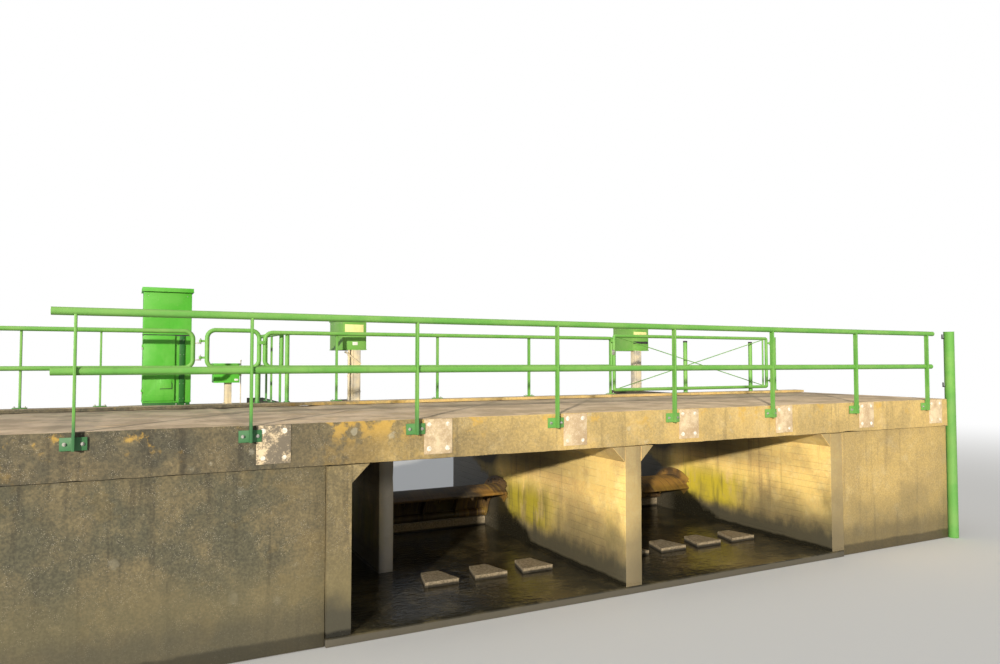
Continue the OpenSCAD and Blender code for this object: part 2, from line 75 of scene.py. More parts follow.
# %% Camera
SENSOR_WIDTH, LENS = 36, 26.64
STAND = (-5.969, -9.479, 3.016)
TURN, RISE = math.radians(27.069), math.radians(2.23)
camera_data = bpy.data.cameras.new("camera")
camera_data.sensor_width, camera_data.lens = SENSOR_WIDTH, LENS
camera = bpy.data.objects.new("camera", camera_data)
flat = math.cos(RISE)
gaze = Vector((math.sin(TURN) * flat, math.cos(TURN) * flat, math.sin(RISE)))
camera.location = at(*STAND)
camera.rotation_euler = gaze.to_track_quat("-Z", "Y").to_euler()
bpy.context.scene.collection.objects.link(camera)
bpy.context.scene.camera = camera
print("camera at", [round(v, 3) for v in camera.location])

# %% [markdown]
# A low key light from the left, behind the camera, throws the deck's shadow across the
# bay walls as in the picture. A broad light from above keeps the shaded sides readable.
# A lamp near by would light the left end more than the right, so both are far away.

# %% Lights
scene = bpy.context.scene
scene.view_settings.view_transform = "Standard"


def sun(name, towards, strength, spread, colour):
    """A distant lamp that shines along towards, from a disc of spread degrees."""
    lamp = bpy.data.lights.new(name, "SUN")
    lamp.energy, lamp.angle, lamp.color = strength, math.radians(spread), colour
    holder = bpy.data.objects.new(name, lamp)
    holder.rotation_euler = Vector(towards).to_track_quat("-Z", "Y").to_euler()
    scene.collection.objects.link(holder)


sun("key", towards=(0.85, 1.0, -0.27), strength=4.5, spread=1.6, colour=(1.0, 0.92, 0.80))
sun("sky_glow", towards=(0.25, 0.3, -1.0), strength=0.75, spread=70, colour=(0.95, 0.98, 1.0))

# %% [markdown]
# A finish is a network of nodes, and its sums are easier to read as Python. The small
# class below wraps one socket, so that a sum on sockets adds its Math nodes. Written out
# node by node, the same sum would take a line for each sign.


# %% Arithmetic on sockets
class Wire:
    """One output socket, on which Python's arithmetic builds Math nodes."""

    def __init__(self, finish, socket):
        self.finish, self.socket = finish, socket

    def sum(self, operation, first, second=0.0):
        return self.finish.node("ShaderNodeMath", {"operation": operation}, {0: first, 1: second})

    def __add__(self, other):
        return self.sum("ADD", self, other)

    def __sub__(self, other):
        return self.sum("SUBTRACT", self, other)

    def __rsub__(self, other):
        return self.sum("SUBTRACT", other, self)

    def __mul__(self, other):
        return self.sum("MULTIPLY", self, other)

    def __truediv__(self, other):
        return self.sum("DIVIDE", self, other)

    def __abs__(self):
        return self.sum("ABSOLUTE", self)

    __radd__, __rmul__ = __add__, __mul__

    def floor(self):
        return self.sum("FLOOR", self)

    def fraction(self):
        return self.sum("FRACT", self)

    def most(self, other):
        return self.sum("MAXIMUM", self, other)

    def ramp(self, low, high):
        """0 below low and 1 above high, smooth between. low may be the larger one."""
        return self.finish.node(
            "ShaderNodeMapRange", {"interpolation_type": "SMOOTHSTEP"}, {0: self, 1: low, 2: high}
        )

    def near(self, centre, reach):
        """1 at centre, falling to 0 at reach on both sides."""
        return abs(self - centre).ramp(reach, 0)


# %% [markdown]
# All other nodes come from one method that takes the node's kind, its settings and its
# inputs. The noises and cell patterns read the place on the bridge in metres, so that
# one pattern runs on from piece to piece without a seam.


# %% A finish under construction
class Finish:
    """A material under construction. Its places are in metres beside the pier's centre."""

    def __init__(self, name, owner=None):
        self.material = owner or bpy.data.materials.new(name)
        self.material.use_nodes = True
        self.tree = self.material.node_tree
        self.tree.nodes.clear()
        if owner:
            return
        here = self.node("ShaderNodeTexCoord", out="Object")
        self.place = self.node(
            "ShaderNodeVectorMath", {"operation": "SUBTRACT"}, {0: here, 1: tuple(MID)}
        )
        self.x, self.y, self.z = self.parts(self.place)

    def node(self, kind, settings=None, values=None, out=0):
        """Adds a node, sets it, fills or links its inputs and returns one output."""
        made = self.tree.nodes.new(kind)
        for key, value in (settings or {}).items():
            setattr(made, key, value)
        for key, value in (values or {}).items():
            if isinstance(value, Wire):
                self.tree.links.new(value.socket, made.inputs[key])
            else:
                made.inputs[key].default_value = value
        return Wire(self, made.outputs[out]) if made.outputs else None

    def parts(self, vector):
        split = self.node("ShaderNodeSeparateXYZ", None, {0: vector})
        outputs = split.socket.node.outputs
        return [Wire(self, outputs[i]) for i in range(3)]

    def facing(self):
        """How far the surface faces +X, +Y and +Z, from -1 to 1."""
        return self.parts(self.node("ShaderNodeTexCoord", out="Normal"))

    def grain(self, scale, detail=4.0, rough=0.55, stretch=None, shift=0.0):
        """A noise from 0 to 1 with scale features per metre, drawn out by stretch."""
        where = self.place
        if stretch or shift:
            where = self.node(
                "ShaderNodeMapping",
                None,
                {0: where, 1: (shift, shift * 0.7, -shift), 3: stretch or (1, 1, 1)},
            )
        values = {"Vector": where, "Scale": scale, "Detail": detail, "Roughness": rough}
        return self.node("ShaderNodeTexNoise", None, values)

    def cells(self, scale, out="Distance", shift=0.0):
        """A cell pattern: the distance to the nearest point, or the cell's colour."""
        where = self.place
        if shift:
            where = self.node("ShaderNodeMapping", None, {0: where, 1: (shift, shift, shift)})
        return self.node("ShaderNodeTexVoronoi", None, {"Vector": where, "Scale": scale}, out)

    def mix(self, factor, first, second, blend="MIX"):
        """A colour between first and second. Each may be a link or three numbers."""
        four = [c if isinstance(c, Wire) else (*c, 1) for c in (first, second)]
        return self.node(
            "ShaderNodeMix",
            {"data_type": "RGBA", "blend_type": blend, "clamp_factor": True},
            {0: factor, 6: four[0], 7: four[1]},
            out=2,
        )

    def end(self, colour, rough, height, depth, metal=0.0):
        """Closes the network with a Principled shader and a bump of some depth."""
        bump = self.node("ShaderNodeBump", None, {"Height": height, "Distance": depth})
        values = {"Base Color": colour, "Roughness": rough, "Metallic": metal, "Normal": bump}
        shader = self.node("ShaderNodeBsdfPrincipled", None, values)
        self.node("ShaderNodeOutputMaterial", None, {0: shader})
        print("finish", self.material.name, "with", len(self.tree.nodes), "nodes")
        return self.material


# %% [markdown]
# The world gives an even pale light from all sides. Where the camera sees it, it is plain
# white. One shader could do both only by lighting the bridge too brightly, so a mix
# chooses between two of them.

# %% World
scene.world = bpy.data.worlds.new("studio")
sky = Finish("studio", scene.world)
even = sky.node("ShaderNodeBackground", None, {"Color": (0.93, 0.96, 1.0, 1), "Strength": 0.24})
shown = sky.node("ShaderNodeBackground", None, {"Color": (1, 1, 1, 1), "Strength": 1.0})
seen = sky.node("ShaderNodeLightPath", out="Is Camera Ray")
passing = sky.node("ShaderNodeLightPath", out="Is Transmission Ray")
both = sky.node("ShaderNodeMixShader", None, {0: seen.most(passing), 1: even, 2: shown})
sky.node("ShaderNodeOutputWorld", None, {0: both})
print("world with", len(sky.tree.nodes), "nodes")

# %% [markdown]
# The floor is a pale sheet just under the bridge. It takes the bridge's shadow near by.
# A plain sheet would end in a horizon, so this one turns white further out.

# %% Floor
FLOOR_SIZE, FLOOR_DROP = 400, 0.002
FADE_START, FADE_END = 11, 34
studio = Finish("studio_floor")
far_off = studio.node("ShaderNodeVectorMath", {"operation": "LENGTH"}, {0: studio.place}, "Value")
lit = studio.node("ShaderNodeBsdfDiffuse", None, {"Color": (0.74, 0.74, 0.735, 1)})
white = studio.node("ShaderNodeEmission", None, {"Color": (1, 1, 1, 1), "Strength": 1.0})
seen = studio.node("ShaderNodeLightPath", out="Is Camera Ray")
glossy = studio.node("ShaderNodeLightPath", out="Is Glossy Ray")
passing = studio.node("ShaderNodeLightPath", out="Is Transmission Ray")
share = far_off.ramp(FADE_START, FADE_END) * seen.most(glossy).most(passing)
both = studio.node("ShaderNodeMixShader", None, {0: share, 1: lit, 2: white})
studio.node("ShaderNodeOutputMaterial", None, {0: both})

bm = bmesh.new()
below = Matrix.Translation((0, 0, -FLOOR_DROP))
bmesh.ops.create_grid(bm, x_segments=1, y_segments=1, size=FLOOR_SIZE, matrix=below)
floor_mesh = bpy.data.meshes.new("studio_floor")
bm.to_mesh(floor_mesh)
bm.free()
floor_mesh.materials.append(studio.material)
floor = bpy.data.objects.new("studio_floor", floor_mesh)
scene.collection.objects.link(floor)
print("floor at", -FLOOR_DROP)

# %% [markdown]
# The concrete is old and cast on the spot, warm beige on the right and greyer to the
# left. The grey on the left is partly weathering and partly the painted shade of trees.
# Painting an image would fix all this to one view, so masks that are worked out from the
# place on the bridge drive the network. The class below starts it, and each mark in the
# next cells is laid over its colour and added to its height.


# %% Bare concrete
class Concrete(Finish):
    """A concrete finish under construction, with the masks that its marks share."""

    def __init__(self, name, bright, left):
        super().__init__(name)
        self.face_x, self.face_y, self.face_z = self.facing()
        self.broad = self.grain(1.3, 5, 0.6)
        self.patchy = self.grain(4.5, 6, 0.62, shift=3.1)
        self.side = (self.x + self.broad * 3.0).ramp(-3.2, 0.6)
        beige = [part * bright for part in (0.59, 0.435, 0.170)]
        pale = [part * bright for part in (0.66, 0.53, 0.28)]
        # the left colour is partly weathered grey and partly the painted shade of trees
        self.base = self.mix(self.side, left, beige)
        self.over(self.patchy.ramp(0.5, 0.72) * 0.55 * (self.side * 0.75 + 0.25), pale)
        self.over(self.broad.ramp(0.58, 0.40) * 0.35, (0.26, 0.205, 0.11))

    def over(self, factor, colour, blend="MIX"):
        """Lays one more colour over the finish, as far as factor says."""
        self.base = self.mix(factor, self.base, colour, blend)


# %% [markdown]
# Rain draws dark runs down the upright faces, and wears the skin off, so that sand and
# fine stones show as freckles. They are laid with the overlay blend, because a plain mix
# would hide the tones below.


# %% Runs, freckles and stones
def weather(c):
    """The marks that all concrete has. It starts the height and the roughness."""
    fine = c.grain(38, 5, 0.7)
    stones = c.cells(75)
    streaks = c.grain(1.0, 5, 0.6, stretch=(9, 9, 0.55), shift=1.7)
    upright = abs(c.face_z).ramp(0.8, 0.4)
    runs = c.mix(c.side, (0.040, 0.037, 0.030), (0.15, 0.12, 0.07))
    c.over(streaks.ramp(0.52, 0.72) * upright * (0.55 - c.side * 0.17), runs)
    c.freckle = fine.ramp(0.35, 0.68)
    sand = c.mix(c.freckle, (0.10, 0.085, 0.06), (0.80, 0.70, 0.50))
    c.over(0.38 - c.side * 0.15, sand, "OVERLAY")
    pebbles = stones.ramp(0.26, 0.14) * c.grain(9, 2).ramp(0.45, 0.6)
    c.over(pebbles * 0.5, (0.72, 0.66, 0.52))
    c.height = fine * 0.6 + c.patchy * 0.8 + pebbles * 0.35
    c.rough = 0.93 - c.freckle * 0.08


# %% [markdown]
# The bays were cast against boards, which left level lines and a print of their grain.
# A repeat of the height, with one random tone for each board, gives both without a
# single cut in the mesh.

# %% Board marks
BOARD = 0.1015


def board_marks(c, share):
    """The seams and the grain of the boards, on the faces that look along the deck."""
    rows = c.z / BOARD
    lane = c.node("ShaderNodeTexWhiteNoise", {"noise_dimensions": "1D"}, {"W": rows.floor()})
    seam = abs(rows.fraction() - 0.5).ramp(0.44, 0.497)
    seam = seam * c.grain(2.2, 3, shift=7.7).ramp(0.36, 0.56)
    inside = abs(c.face_x).ramp(0.5, 0.8)
    print_lines = c.grain(1.0, 6, 0.7, stretch=(2, 1.2, 42))
    tones = c.mix(lane, (0.35, 0.29, 0.2), (0.8, 0.66, 0.45))
    c.over(inside * share * 0.16, tones, "OVERLAY")
    c.over(seam * inside * share * 0.26, (0.20, 0.15, 0.08))
    c.height = c.height + (print_lines * 0.5 + lane * 0.5 - seam * 1.0) * inside * share


# %% [markdown]
# Lichen grows where the concrete stays dry: an orange film near the deck's top, and pale
# round rosettes. A cell pattern gives round spots, and a noise on its distance makes
# their edges ragged.


# %% Lichen
def lichen_spots(c, share):
    """Orange film and pale rosettes, thickest near the top of the deck."""
    crest = c.z.ramp(TOP - 0.30, TOP - 0.04) * 0.75 + 0.2
    film = c.grain(3.2, 6, 0.68, shift=11.0) + c.x.near(-3.3, 2.0) * 0.07
    c.over(film.ramp(0.56, 0.65) * crest * share * 0.75, (0.60, 0.37, 0.07))
    rosette = c.cells(3.4, shift=2.3) + (c.grain(13, 5, 0.7) - 0.5) * 0.55
    rosette = rosette.ramp(0.17, 0.08) * c.grain(0.9, 2, shift=5.0).ramp(0.45, 0.56)
    c.over(rosette * share * 0.32, (0.60, 0.57, 0.44))
    c.height = c.height + rosette * 0.5 * share


# %% [markdown]
# Moss covers the lower walls at the back of the bays. It is painted brightest at the
# right, where the low sun falls on it, which is painted light. Dark drips and a thin brown
# film run through it. It stands out from the wall, so it also raises the height.


# %% Moss
def moss_growth(c, share):
    """Moss in the back of the bays. Returns where it covers the wall."""
    back = c.y.ramp(-0.3, 0.7) * c.y.ramp(2.4, 1.5)
    level = c.z.ramp(0.28, 0.48) * c.z.ramp(1.25, 0.80)
    growth = c.grain(2.4, 6, 0.66, stretch=(1, 1, 0.5), shift=4.0).ramp(0.32, 0.52)
    green = growth * back * level * share
    # Brighter moss at the right, where the sun falls on it: painted light
    sunny = c.mix(c.x.ramp(1.0, 2.0), (0.42, 0.35, 0.010), (0.66, 0.53, 0.022))
    c.over(green * 0.95, c.mix(c.side, (0.20, 0.19, 0.016), sunny))
    drips = c.grain(1.0, 5, 0.6, stretch=(6, 6, 0.7), shift=21.0).ramp(0.50, 0.64)
    c.over(drips * back * c.z.ramp(1.15, 0.8) * 0.62 * share, (0.075, 0.068, 0.028))
    low_film = c.grain(1.7, 5, 0.6, stretch=(1.6, 1.6, 0.7), shift=8.0).ramp(0.48, 0.66)
    low_film = low_film * c.z.ramp(1.35, 0.7) * c.x.ramp(-2.4, -1.5) * share
    c.over(low_film * 0.45, (0.30, 0.235, 0.05))
    c.height = c.height + green * 1.2
    return green


# %% [markdown]
# The foot of each wall is damp: grey first, then dark, and black and glossy just above
# the bed and along a slanting line of splashes in the bays. A noise on the height keeps
# these lines from running level.


# %% Damp foot
def damp_foot(c, share, green):
    """Grey, wet and black bands at the foot of a wall, and a wet back of the bays."""
    edge = c.z + (c.grain(3.4, 5, 0.6, stretch=(1.3, 1.3, 0.8)) - 0.5) * 0.42
    grey = (c.z + (c.broad - 0.5) * 0.7).ramp(1.15, 0.56) * share * (1 - green * 0.85)
    c.over(grey * 0.82, (0.160, 0.134, 0.066))
    wet = edge.ramp(0.60, 0.28) * share
    c.over(wet * 0.90, (0.050, 0.047, 0.032))
    splash_line = (c.y - 0.75) * 0.5 + (c.patchy - 0.5) * 0.4
    splash = (c.z - splash_line).ramp(0.22, 0.04) * c.y.ramp(0.35, 0.75)
    splash = splash * c.x.ramp(-2.6, -2.4) * share
    foot = (c.z + (c.patchy - 0.5) * 0.06).ramp(BED + 0.075, BED + 0.035) * share
    black = splash.most(foot)
    c.over(black * 0.93, (0.012, 0.011, 0.007))
    upper = c.z.ramp(0.93, 0.84) * c.y.ramp(1.9, 2.1) * share
    c.over(upper * 0.85, (0.020, 0.019, 0.012))
    c.rough = c.rough - wet * 0.2 - black * 0.45


# %% [markdown]
# Three places in the bays differ from the rest. The divider wall is painted pale, as
# painted light where the side wall shades it. The walls deep under the deck and beyond
# the flaps are darkened as painted shade. The faces that look downstream are browner.
# Each is one more colour over one more mask.

# %% Divider wall and deep bays
DIVIDER, DIVIDER_REACH = -2.645, 0.22


def bay_shades(c):
    """Painted light on the divider wall, painted shade deep in the bays, and brown front faces."""
    pale = c.mix(c.patchy, (0.58, 0.55, 0.47), (0.90, 0.86, 0.78))
    # The divider is painted pale: painted light where the side wall shades it
    c.over(c.x.near(DIVIDER, DIVIDER_REACH) * 0.92, pale)
    # The walls deep under the deck and beyond the flaps are darkened: painted shade
    painted_deep_shade = c.y.ramp(-1.5, 0.9) * (c.z + (c.broad - 0.5) * 0.3).ramp(1.12, 1.45)
    c.over((painted_deep_shade + c.y.ramp(1.9, 2.3)) * 0.72, (0.075, 0.066, 0.046))
    front = c.face_y.ramp(-0.7, -0.95) * c.side * c.x.ramp(-2.4, -2.2)
    c.over(front * 0.72, (0.22, 0.175, 0.095))


# %% [markdown]
# Five finishes come from these marks. The deck and the kerb are trodden pale, the walls
# are damp, and the blocks and sills in the basins have a tint of their own, because they
# are always wet.

# %% Concrete finishes
WALL_GREY = (0.100, 0.098, 0.068)


def concrete(name, lichen, boards=0.0, damp=0.0, moss=0.0, worn_top=0.0, bright=1.0,
             left=(0.094, 0.090, 0.066), depth=0.0028, tint=None):
    """One concrete finish. Each number says how strongly that mark shows."""
    c = Concrete(name, bright, left)
    weather(c)
    if boards:
        board_marks(c, boards)
    lichen_spots(c, lichen)
    green = moss_growth(c, moss) if moss else 0.0
    if damp:
        damp_foot(c, damp, green)
    if boards:
        bay_shades(c)
    if worn_top:
        sandy = c.grain(2.0, 6, 0.65, shift=6.0).ramp(0.4, 0.62)
        trodden = c.face_z.ramp(0.6, 0.95) * worn_top
        c.over(trodden * 0.8, c.mix(sandy, (0.54, 0.41, 0.28), (0.84, 0.65, 0.46)))
    if tint:
        c.over(0.75, c.mix(c.freckle, [part * 0.3 for part in tint], tint))
        c.over(c.z.ramp(BED + 0.045, BED + 0.015) * 0.9, (0.02, 0.018, 0.012))
    # Faces that look down, such as the deck's underside, are darkened: painted shade
    c.over(c.face_z.ramp(-0.6, -0.95) * 0.88, (0.038, 0.036, 0.031))
    return c.end(c.base, c.rough, c.height, depth)


deck_finish = concrete("deck_concrete", lichen=1.0, worn_top=1.0)
wing_finish = concrete("bank_wall_concrete", lichen=0.35, damp=0.6, bright=0.84, left=WALL_GREY)
# bright=1.68 paints the bay walls much lighter than the bank walls: painted light
bay_finish = concrete("bay_wall_concrete", boards=1.0, damp=1.0, moss=1.0, lichen=0.15,
                      bright=1.68, left=WALL_GREY)
block_finish = concrete("block_concrete", lichen=0.2, bright=0.75, depth=0.009,
                        tint=(0.42, 0.36, 0.27))
kerb_finish = concrete("kerb_concrete", lichen=0.6, worn_top=0.7, bright=1.12)

# %% [markdown]
# The bed between the walls is dark, slimy and always wet. A flat brown would look like
# dry paint, so two tones of silt are mixed by a noise, and a low roughness lets the bed
# mirror the walls. The slab's own sides are dull and dry.

# %% Wet bed
wet = Finish("wet_bed")
ripple = wet.grain(7, 4, 0.5, stretch=(1.0, 2.6, 1))
silt = wet.grain(3.0, 6, 0.65)
bed_colour = wet.mix(silt.ramp(0.42, 0.66), (0.028, 0.025, 0.016), (0.085, 0.070, 0.036))
bed_edge = wet.z.ramp(BED - 0.012, BED - 0.03)
bed_colour = wet.mix(bed_edge, bed_colour, (0.085, 0.076, 0.055))
bed_finish = wet.end(bed_colour, bed_edge * 0.7 + 0.13, ripple + silt * 0.4, 0.012)


# %% [markdown]
# The railings wear many coats of green paint. Their upper sides are lighter, partly
# bleached by the sun and partly a painted highlight, and their undersides are darker as
# painted shade. Rain has left runs, and the feet are darker, partly from dirt and algae
# and partly as painted shade. The same network serves the cabinet and the housings, so
# that only the two greens and a few strengths change from one to the next.


# %% Green paint
def green_paint(name, colour, faded, fade=0.6, foot=0.0, chips=0.5, rough=0.42):
    """Chipped green paint: bleach and painted highlight on top, painted shade below, dirt and
    shade at its foot.
    """
    f = Finish(name)
    face_z = f.facing()[2]
    cloud = f.grain(2.6, 5, 0.6)
    dust = f.grain(30, 4, 0.65, shift=2.0)
    runs = f.grain(1.0, 4, 0.6, stretch=(22, 22, 0.9), shift=5.0)
    peel = f.grain(150, 2, 0.5)
    base = f.mix(cloud.ramp(0.38, 0.66) * 0.5, colour, faded)
    # Upper faces lighter: partly sun bleaching, partly a painted highlight
    sunny = face_z.ramp(0.1, 0.9) * (cloud * 0.7 + 0.5) * fade
    base = f.mix(sunny, base, faded)
    # Faces that look down are darker: painted shade
    below = face_z.ramp(-0.2, -0.9) * 0.5
    base = f.mix(below, base, tuple(c * 0.45 for c in colour))
    base = f.mix(runs.ramp(0.56, 0.74) * 0.22, base, tuple(c * 0.5 for c in colour))
    # The feet are darker, more so to the left: partly dirt and algae, partly painted shade
    leftward = f.x.ramp(-1.5, -4.2) * 1.1 + 0.35
    low = (f.z + (dust - 0.5) * 0.10).ramp(TOP + 0.20, TOP - 0.05) * foot * leftward
    base = f.mix(low * 0.85, base, (0.030, 0.135, 0.060))
    base = f.mix(dust.ramp(0.60, 0.78) * 0.2, base, (0.42, 0.50, 0.22))
    chip = (f.cells(23, shift=1.0) + (dust - 0.5) * 0.25).ramp(0.11, 0.07)
    chip = chip * f.grain(1.9, 3, shift=9.0).ramp(0.57, 0.64) * chips
    base = f.mix(chip, base, (0.22, 0.10, 0.04))
    height = peel * 0.25 + dust * 0.4 - chip * 1.5
    return f.end(base, rough + dust * 0.25 + chip * 0.2, height, 0.0012)


rail_green = green_paint("railing_green", (0.130, 0.38, 0.062), (0.25, 0.46, 0.115), foot=0.7)
cabinet_green = green_paint("cabinet_green", (0.078, 0.43, 0.027), (0.16, 0.50, 0.075),
                            fade=0.35, foot=0.15, chips=0.25, rough=0.36)
box_green = green_paint("housing_green", (0.165, 0.42, 0.070), (0.28, 0.48, 0.14),
                        fade=0.45, chips=0.4)
level_green = green_paint("level_box_green", (0.075, 0.50, 0.028), (0.15, 0.52, 0.07),
                          fade=0.4, chips=0.2)
dark_green = green_paint("dark_green", (0.009, 0.115, 0.010), (0.02, 0.15, 0.025),
                         fade=0.3, foot=0.2, chips=0.2)


# %% [markdown]
# Galvanised steel dulls to a mottled grey with patches of a few centimetres, which a
# cell pattern gives. The hooks, bolts and columns have it, with beige dust on the
# columns.

# %% Zinc
def zinc(name, dust_share, dust_colour=(0.55, 0.50, 0.36)):
    """Old galvanised steel under a share of dust."""
    f = Finish(name)
    tone = f.parts(f.cells(55, out="Color"))[0]
    cloud = f.grain(6, 5, 0.6)
    base = f.mix(tone * 0.6 + cloud * 0.4, (0.34, 0.34, 0.33), (0.62, 0.62, 0.60))
    dirt = (cloud.ramp(0.35, 0.65) * 0.6 + 0.4) * dust_share
    base = f.mix(dirt, base, dust_colour)
    runs = f.grain(1.0, 4, 0.6, stretch=(18, 18, 0.8)).ramp(0.56, 0.72)
    base = f.mix(runs * 0.35, base, (0.23, 0.17, 0.10))
    rough = 0.42 + tone * 0.15 + dirt * 0.3
    return f.end(base, rough, tone * 0.3 + cloud, 0.0008, metal=(1 - dirt) * 0.85)


bolt_zinc = zinc("bolt_zinc", 0.25)
column_zinc = zinc("column_zinc", 1.0, (0.72, 0.61, 0.40))


# %% [markdown]
# The flaps are bare steel that has been wet for years: a dark brown skin with upright
# streaks of rust and algae, orange where it dries now and then, and slick low down. The
# streaks are a noise drawn out along the height. The left flap is darkened nearly to black
# as painted shade.

# %% Flap steel
flap = Finish("flap_steel")
wide = flap.grain(2.2, 5, 0.6)
pitted = flap.grain(45, 4, 0.7)
lanes = flap.grain(1.0, 5, 0.65, stretch=(26, 1.2, 1.2))
rust = flap.mix(wide.ramp(0.40, 0.62), (0.085, 0.050, 0.018), (0.30, 0.155, 0.030))
rust = flap.mix(lanes.ramp(0.50, 0.68) * 0.75, rust, (0.36, 0.23, 0.035))
rust = flap.mix(lanes.ramp(0.46, 0.34) * 0.7, rust, (0.022, 0.018, 0.010))
rust = flap.mix(pitted.ramp(0.58, 0.72) * 0.5, rust, (0.42, 0.20, 0.06))
# The left flap darkened nearly to black: painted shade
rust = flap.mix(flap.x.ramp(-0.45, -0.85) * 0.78, rust, (0.030, 0.026, 0.018))
slime = flap.z.ramp(0.80, 0.50) * wide.ramp(0.42, 0.58)
rust = flap.mix(slime * 0.6, rust, (0.045, 0.050, 0.014))
bare = pitted.ramp(0.4, 0.2) * 0.4
flap_finish = flap.end(rust, 0.62 - slime * 0.25, pitted + lanes * 0.8, 0.003, metal=bare)

# %% [markdown]
# A few small finishes remain: black rubber for caps and seals, enamel for the bare
# plates, and the pale mortar in the places where an older railing stood. The black also
# serves as painted shade in the strips on the cabinet and on a drive housing. One function
# makes the plain coats, and the two mortars are different enough to be written out.


# %% Small finishes
def enamel(name, colour, dirt_colour, dirt=0.3, rough=0.35):
    """A plain coat with patches of dirt and fine scratches."""
    f = Finish(name)
    cloud = f.grain(14.0, 5, 0.6)
    scratch = f.grain(60, 3, 0.6, stretch=(1, 1, 0.3))
    base = f.mix(cloud.ramp(0.42, 0.68) * dirt, colour, dirt_colour)
    base = f.mix(scratch.ramp(0.62, 0.72) * dirt, base, dirt_colour)
    return f.end(base, rough + cloud * 0.2, scratch + cloud, 0.0008)


rubber_and_painted_shade = enamel("black_rubber", (0.022, 0.024, 0.024), (0.09, 0.085, 0.07), 0.5, 0.6)
yellow_plate = enamel("yellow_plate", (0.86, 0.80, 0.34), (0.50, 0.44, 0.20))
white_plate = enamel("white_plate", (0.80, 0.80, 0.74), (0.42, 0.42, 0.36))

m = Finish("patch_mortar")
cloud = m.grain(7, 6, 0.68)
speck = m.grain(60, 4, 0.7)
mortar = m.mix(cloud.ramp(0.36, 0.66), (0.50, 0.36, 0.21), (0.72, 0.58, 0.37))
mortar = m.mix(speck.ramp(0.5, 0.7) * 0.4, mortar, (0.85, 0.78, 0.62))
left_dirt = m.x.ramp(-2.4, -4.4) * (cloud + (speck - 0.5) * 0.5).ramp(0.62, 0.46)
mortar = m.mix(left_dirt * 0.9, mortar, (0.17, 0.15, 0.115))
patch_mortar = m.end(mortar, 0.92, cloud + speck * 0.5, 0.004)

m = Finish("plug_mortar")
cloud = m.grain(24, 5, 0.65)
plug = m.mix(cloud.ramp(0.38, 0.62), (0.62, 0.55, 0.42), (0.92, 0.88, 0.78))
plug_mortar = m.end(plug, 0.9, cloud, 0.003)


# %% [markdown]
# Every piece ends as one object that rides on a body, in one material. Small parts
# first get their faces turned outward.


# %% Making pieces
def make(bm, name, body, finish, stands_for=(), smooth=35):
    """Turns a bmesh into a finished piece. Folds of more than smooth degrees stay sharp."""
    mesh = bpy.data.meshes.new(name)
    bm.to_mesh(mesh)
    bm.free()
    mesh.polygons.foreach_set("use_smooth", [True] * len(mesh.polygons))
    mesh.set_sharp_from_angle(angle=math.radians(smooth))
    mesh.materials.append(finish)
    piece = bpy.data.objects.new(name, mesh)
    scene.collection.objects.link(piece)
    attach(piece, body)
    if stands_for:
        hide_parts(*stands_for)
    print(name, len(mesh.polygons), "faces")


def finished(bm, name, body, finish):
    """Turns small parts into one piece, with all faces pointing outward."""
    bmesh.ops.recalc_face_normals(bm, faces=bm.faces)
    make(bm, name, body, finish)


# %% [markdown]
# Pieces that stand for a CAD solid start from a copy of it. The copy is loose triangles,
# so its points are merged and its flat faces made whole. Then the sharp edges can be
# picked by their angle and bevelled, as folded steel and cut tubes need.

# %% Copies of solids
MERGE = 2e-5
FLAT, FOLD = math.radians(0.5), math.radians(40)


def copy_of(node):
    """A merged copy of a CAD solid, with its flat faces whole again."""
    bm = bmesh.new()
    bm.from_mesh(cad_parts[node].data)
    bmesh.ops.remove_doubles(bm, verts=bm.verts, dist=MERGE)
    bmesh.ops.dissolve_limit(bm, angle_limit=FLAT, verts=bm.verts, edges=bm.edges)
    return bm


def sharp_edges(bm, keep=None):
    """The folded edges, of which keep may choose some by their middle point."""
    return [
        e for e in bm.edges
        if e.is_manifold and e.calc_face_angle() > FOLD
        and (keep is None or keep((e.verts[0].co + e.verts[1].co) / 2))
    ]


def edges_at(points):
    """The edges at some points, each once and in the same order at every run."""
    return list(dict.fromkeys(e for v in points for e in v.link_edges))


def soften(bm, edges, width):
    """Bevels edges and returns the new points."""
    done = bmesh.ops.bevel(
        bm, geom=edges, offset=width, offset_type="OFFSET", segments=2,
        profile=0.5, affect="EDGES", material=-1, clamp_overlap=True,
    )
    return done["verts"]


def dressed(node, body, finish, width=0.0):
    """A clean copy of a CAD node in its finish, its sharp edges bevelled by width."""
    bm = copy_of(node)
    if width:
        soften(bm, sharp_edges(bm), width)
    make(bm, node + "_piece", body, finish, [node])


# %% [markdown]
# Concrete corners wear down and chip. Each solid is cut into short lengths, its corners
# are bevelled, and the new points are pressed in by a noise. They are never pressed out,
# so that the piece stays inside the solid it stands for. A displacement of the whole
# surface would also bend the flat faces.

# %% Worn concrete
CHIP_SPREAD, CHIP_SHIFT, CHIP_RARITY, CHIP_BITE = 0.37, Vector((9, 2, 5)), 0.22, 1.5


def slice_up(bm, spacing):
    """Cuts a mesh into cells by planes along each axis with a spacing."""
    for axis, gap in enumerate(spacing):
        if not gap:
            continue
        low = min(v.co[axis] for v in bm.verts)
        high = max(v.co[axis] for v in bm.verts)
        normal = Vector([float(i == axis) for i in range(3)])
        for i in range(1, int((high - low) / gap) + 1):
            place = normal * (low + i * gap)
            if high - place[axis] > gap * 0.2:
                everything = bm.verts[:] + bm.edges[:] + bm.faces[:]
                bmesh.ops.bisect_plane(bm, geom=everything, plane_co=place, plane_no=normal)


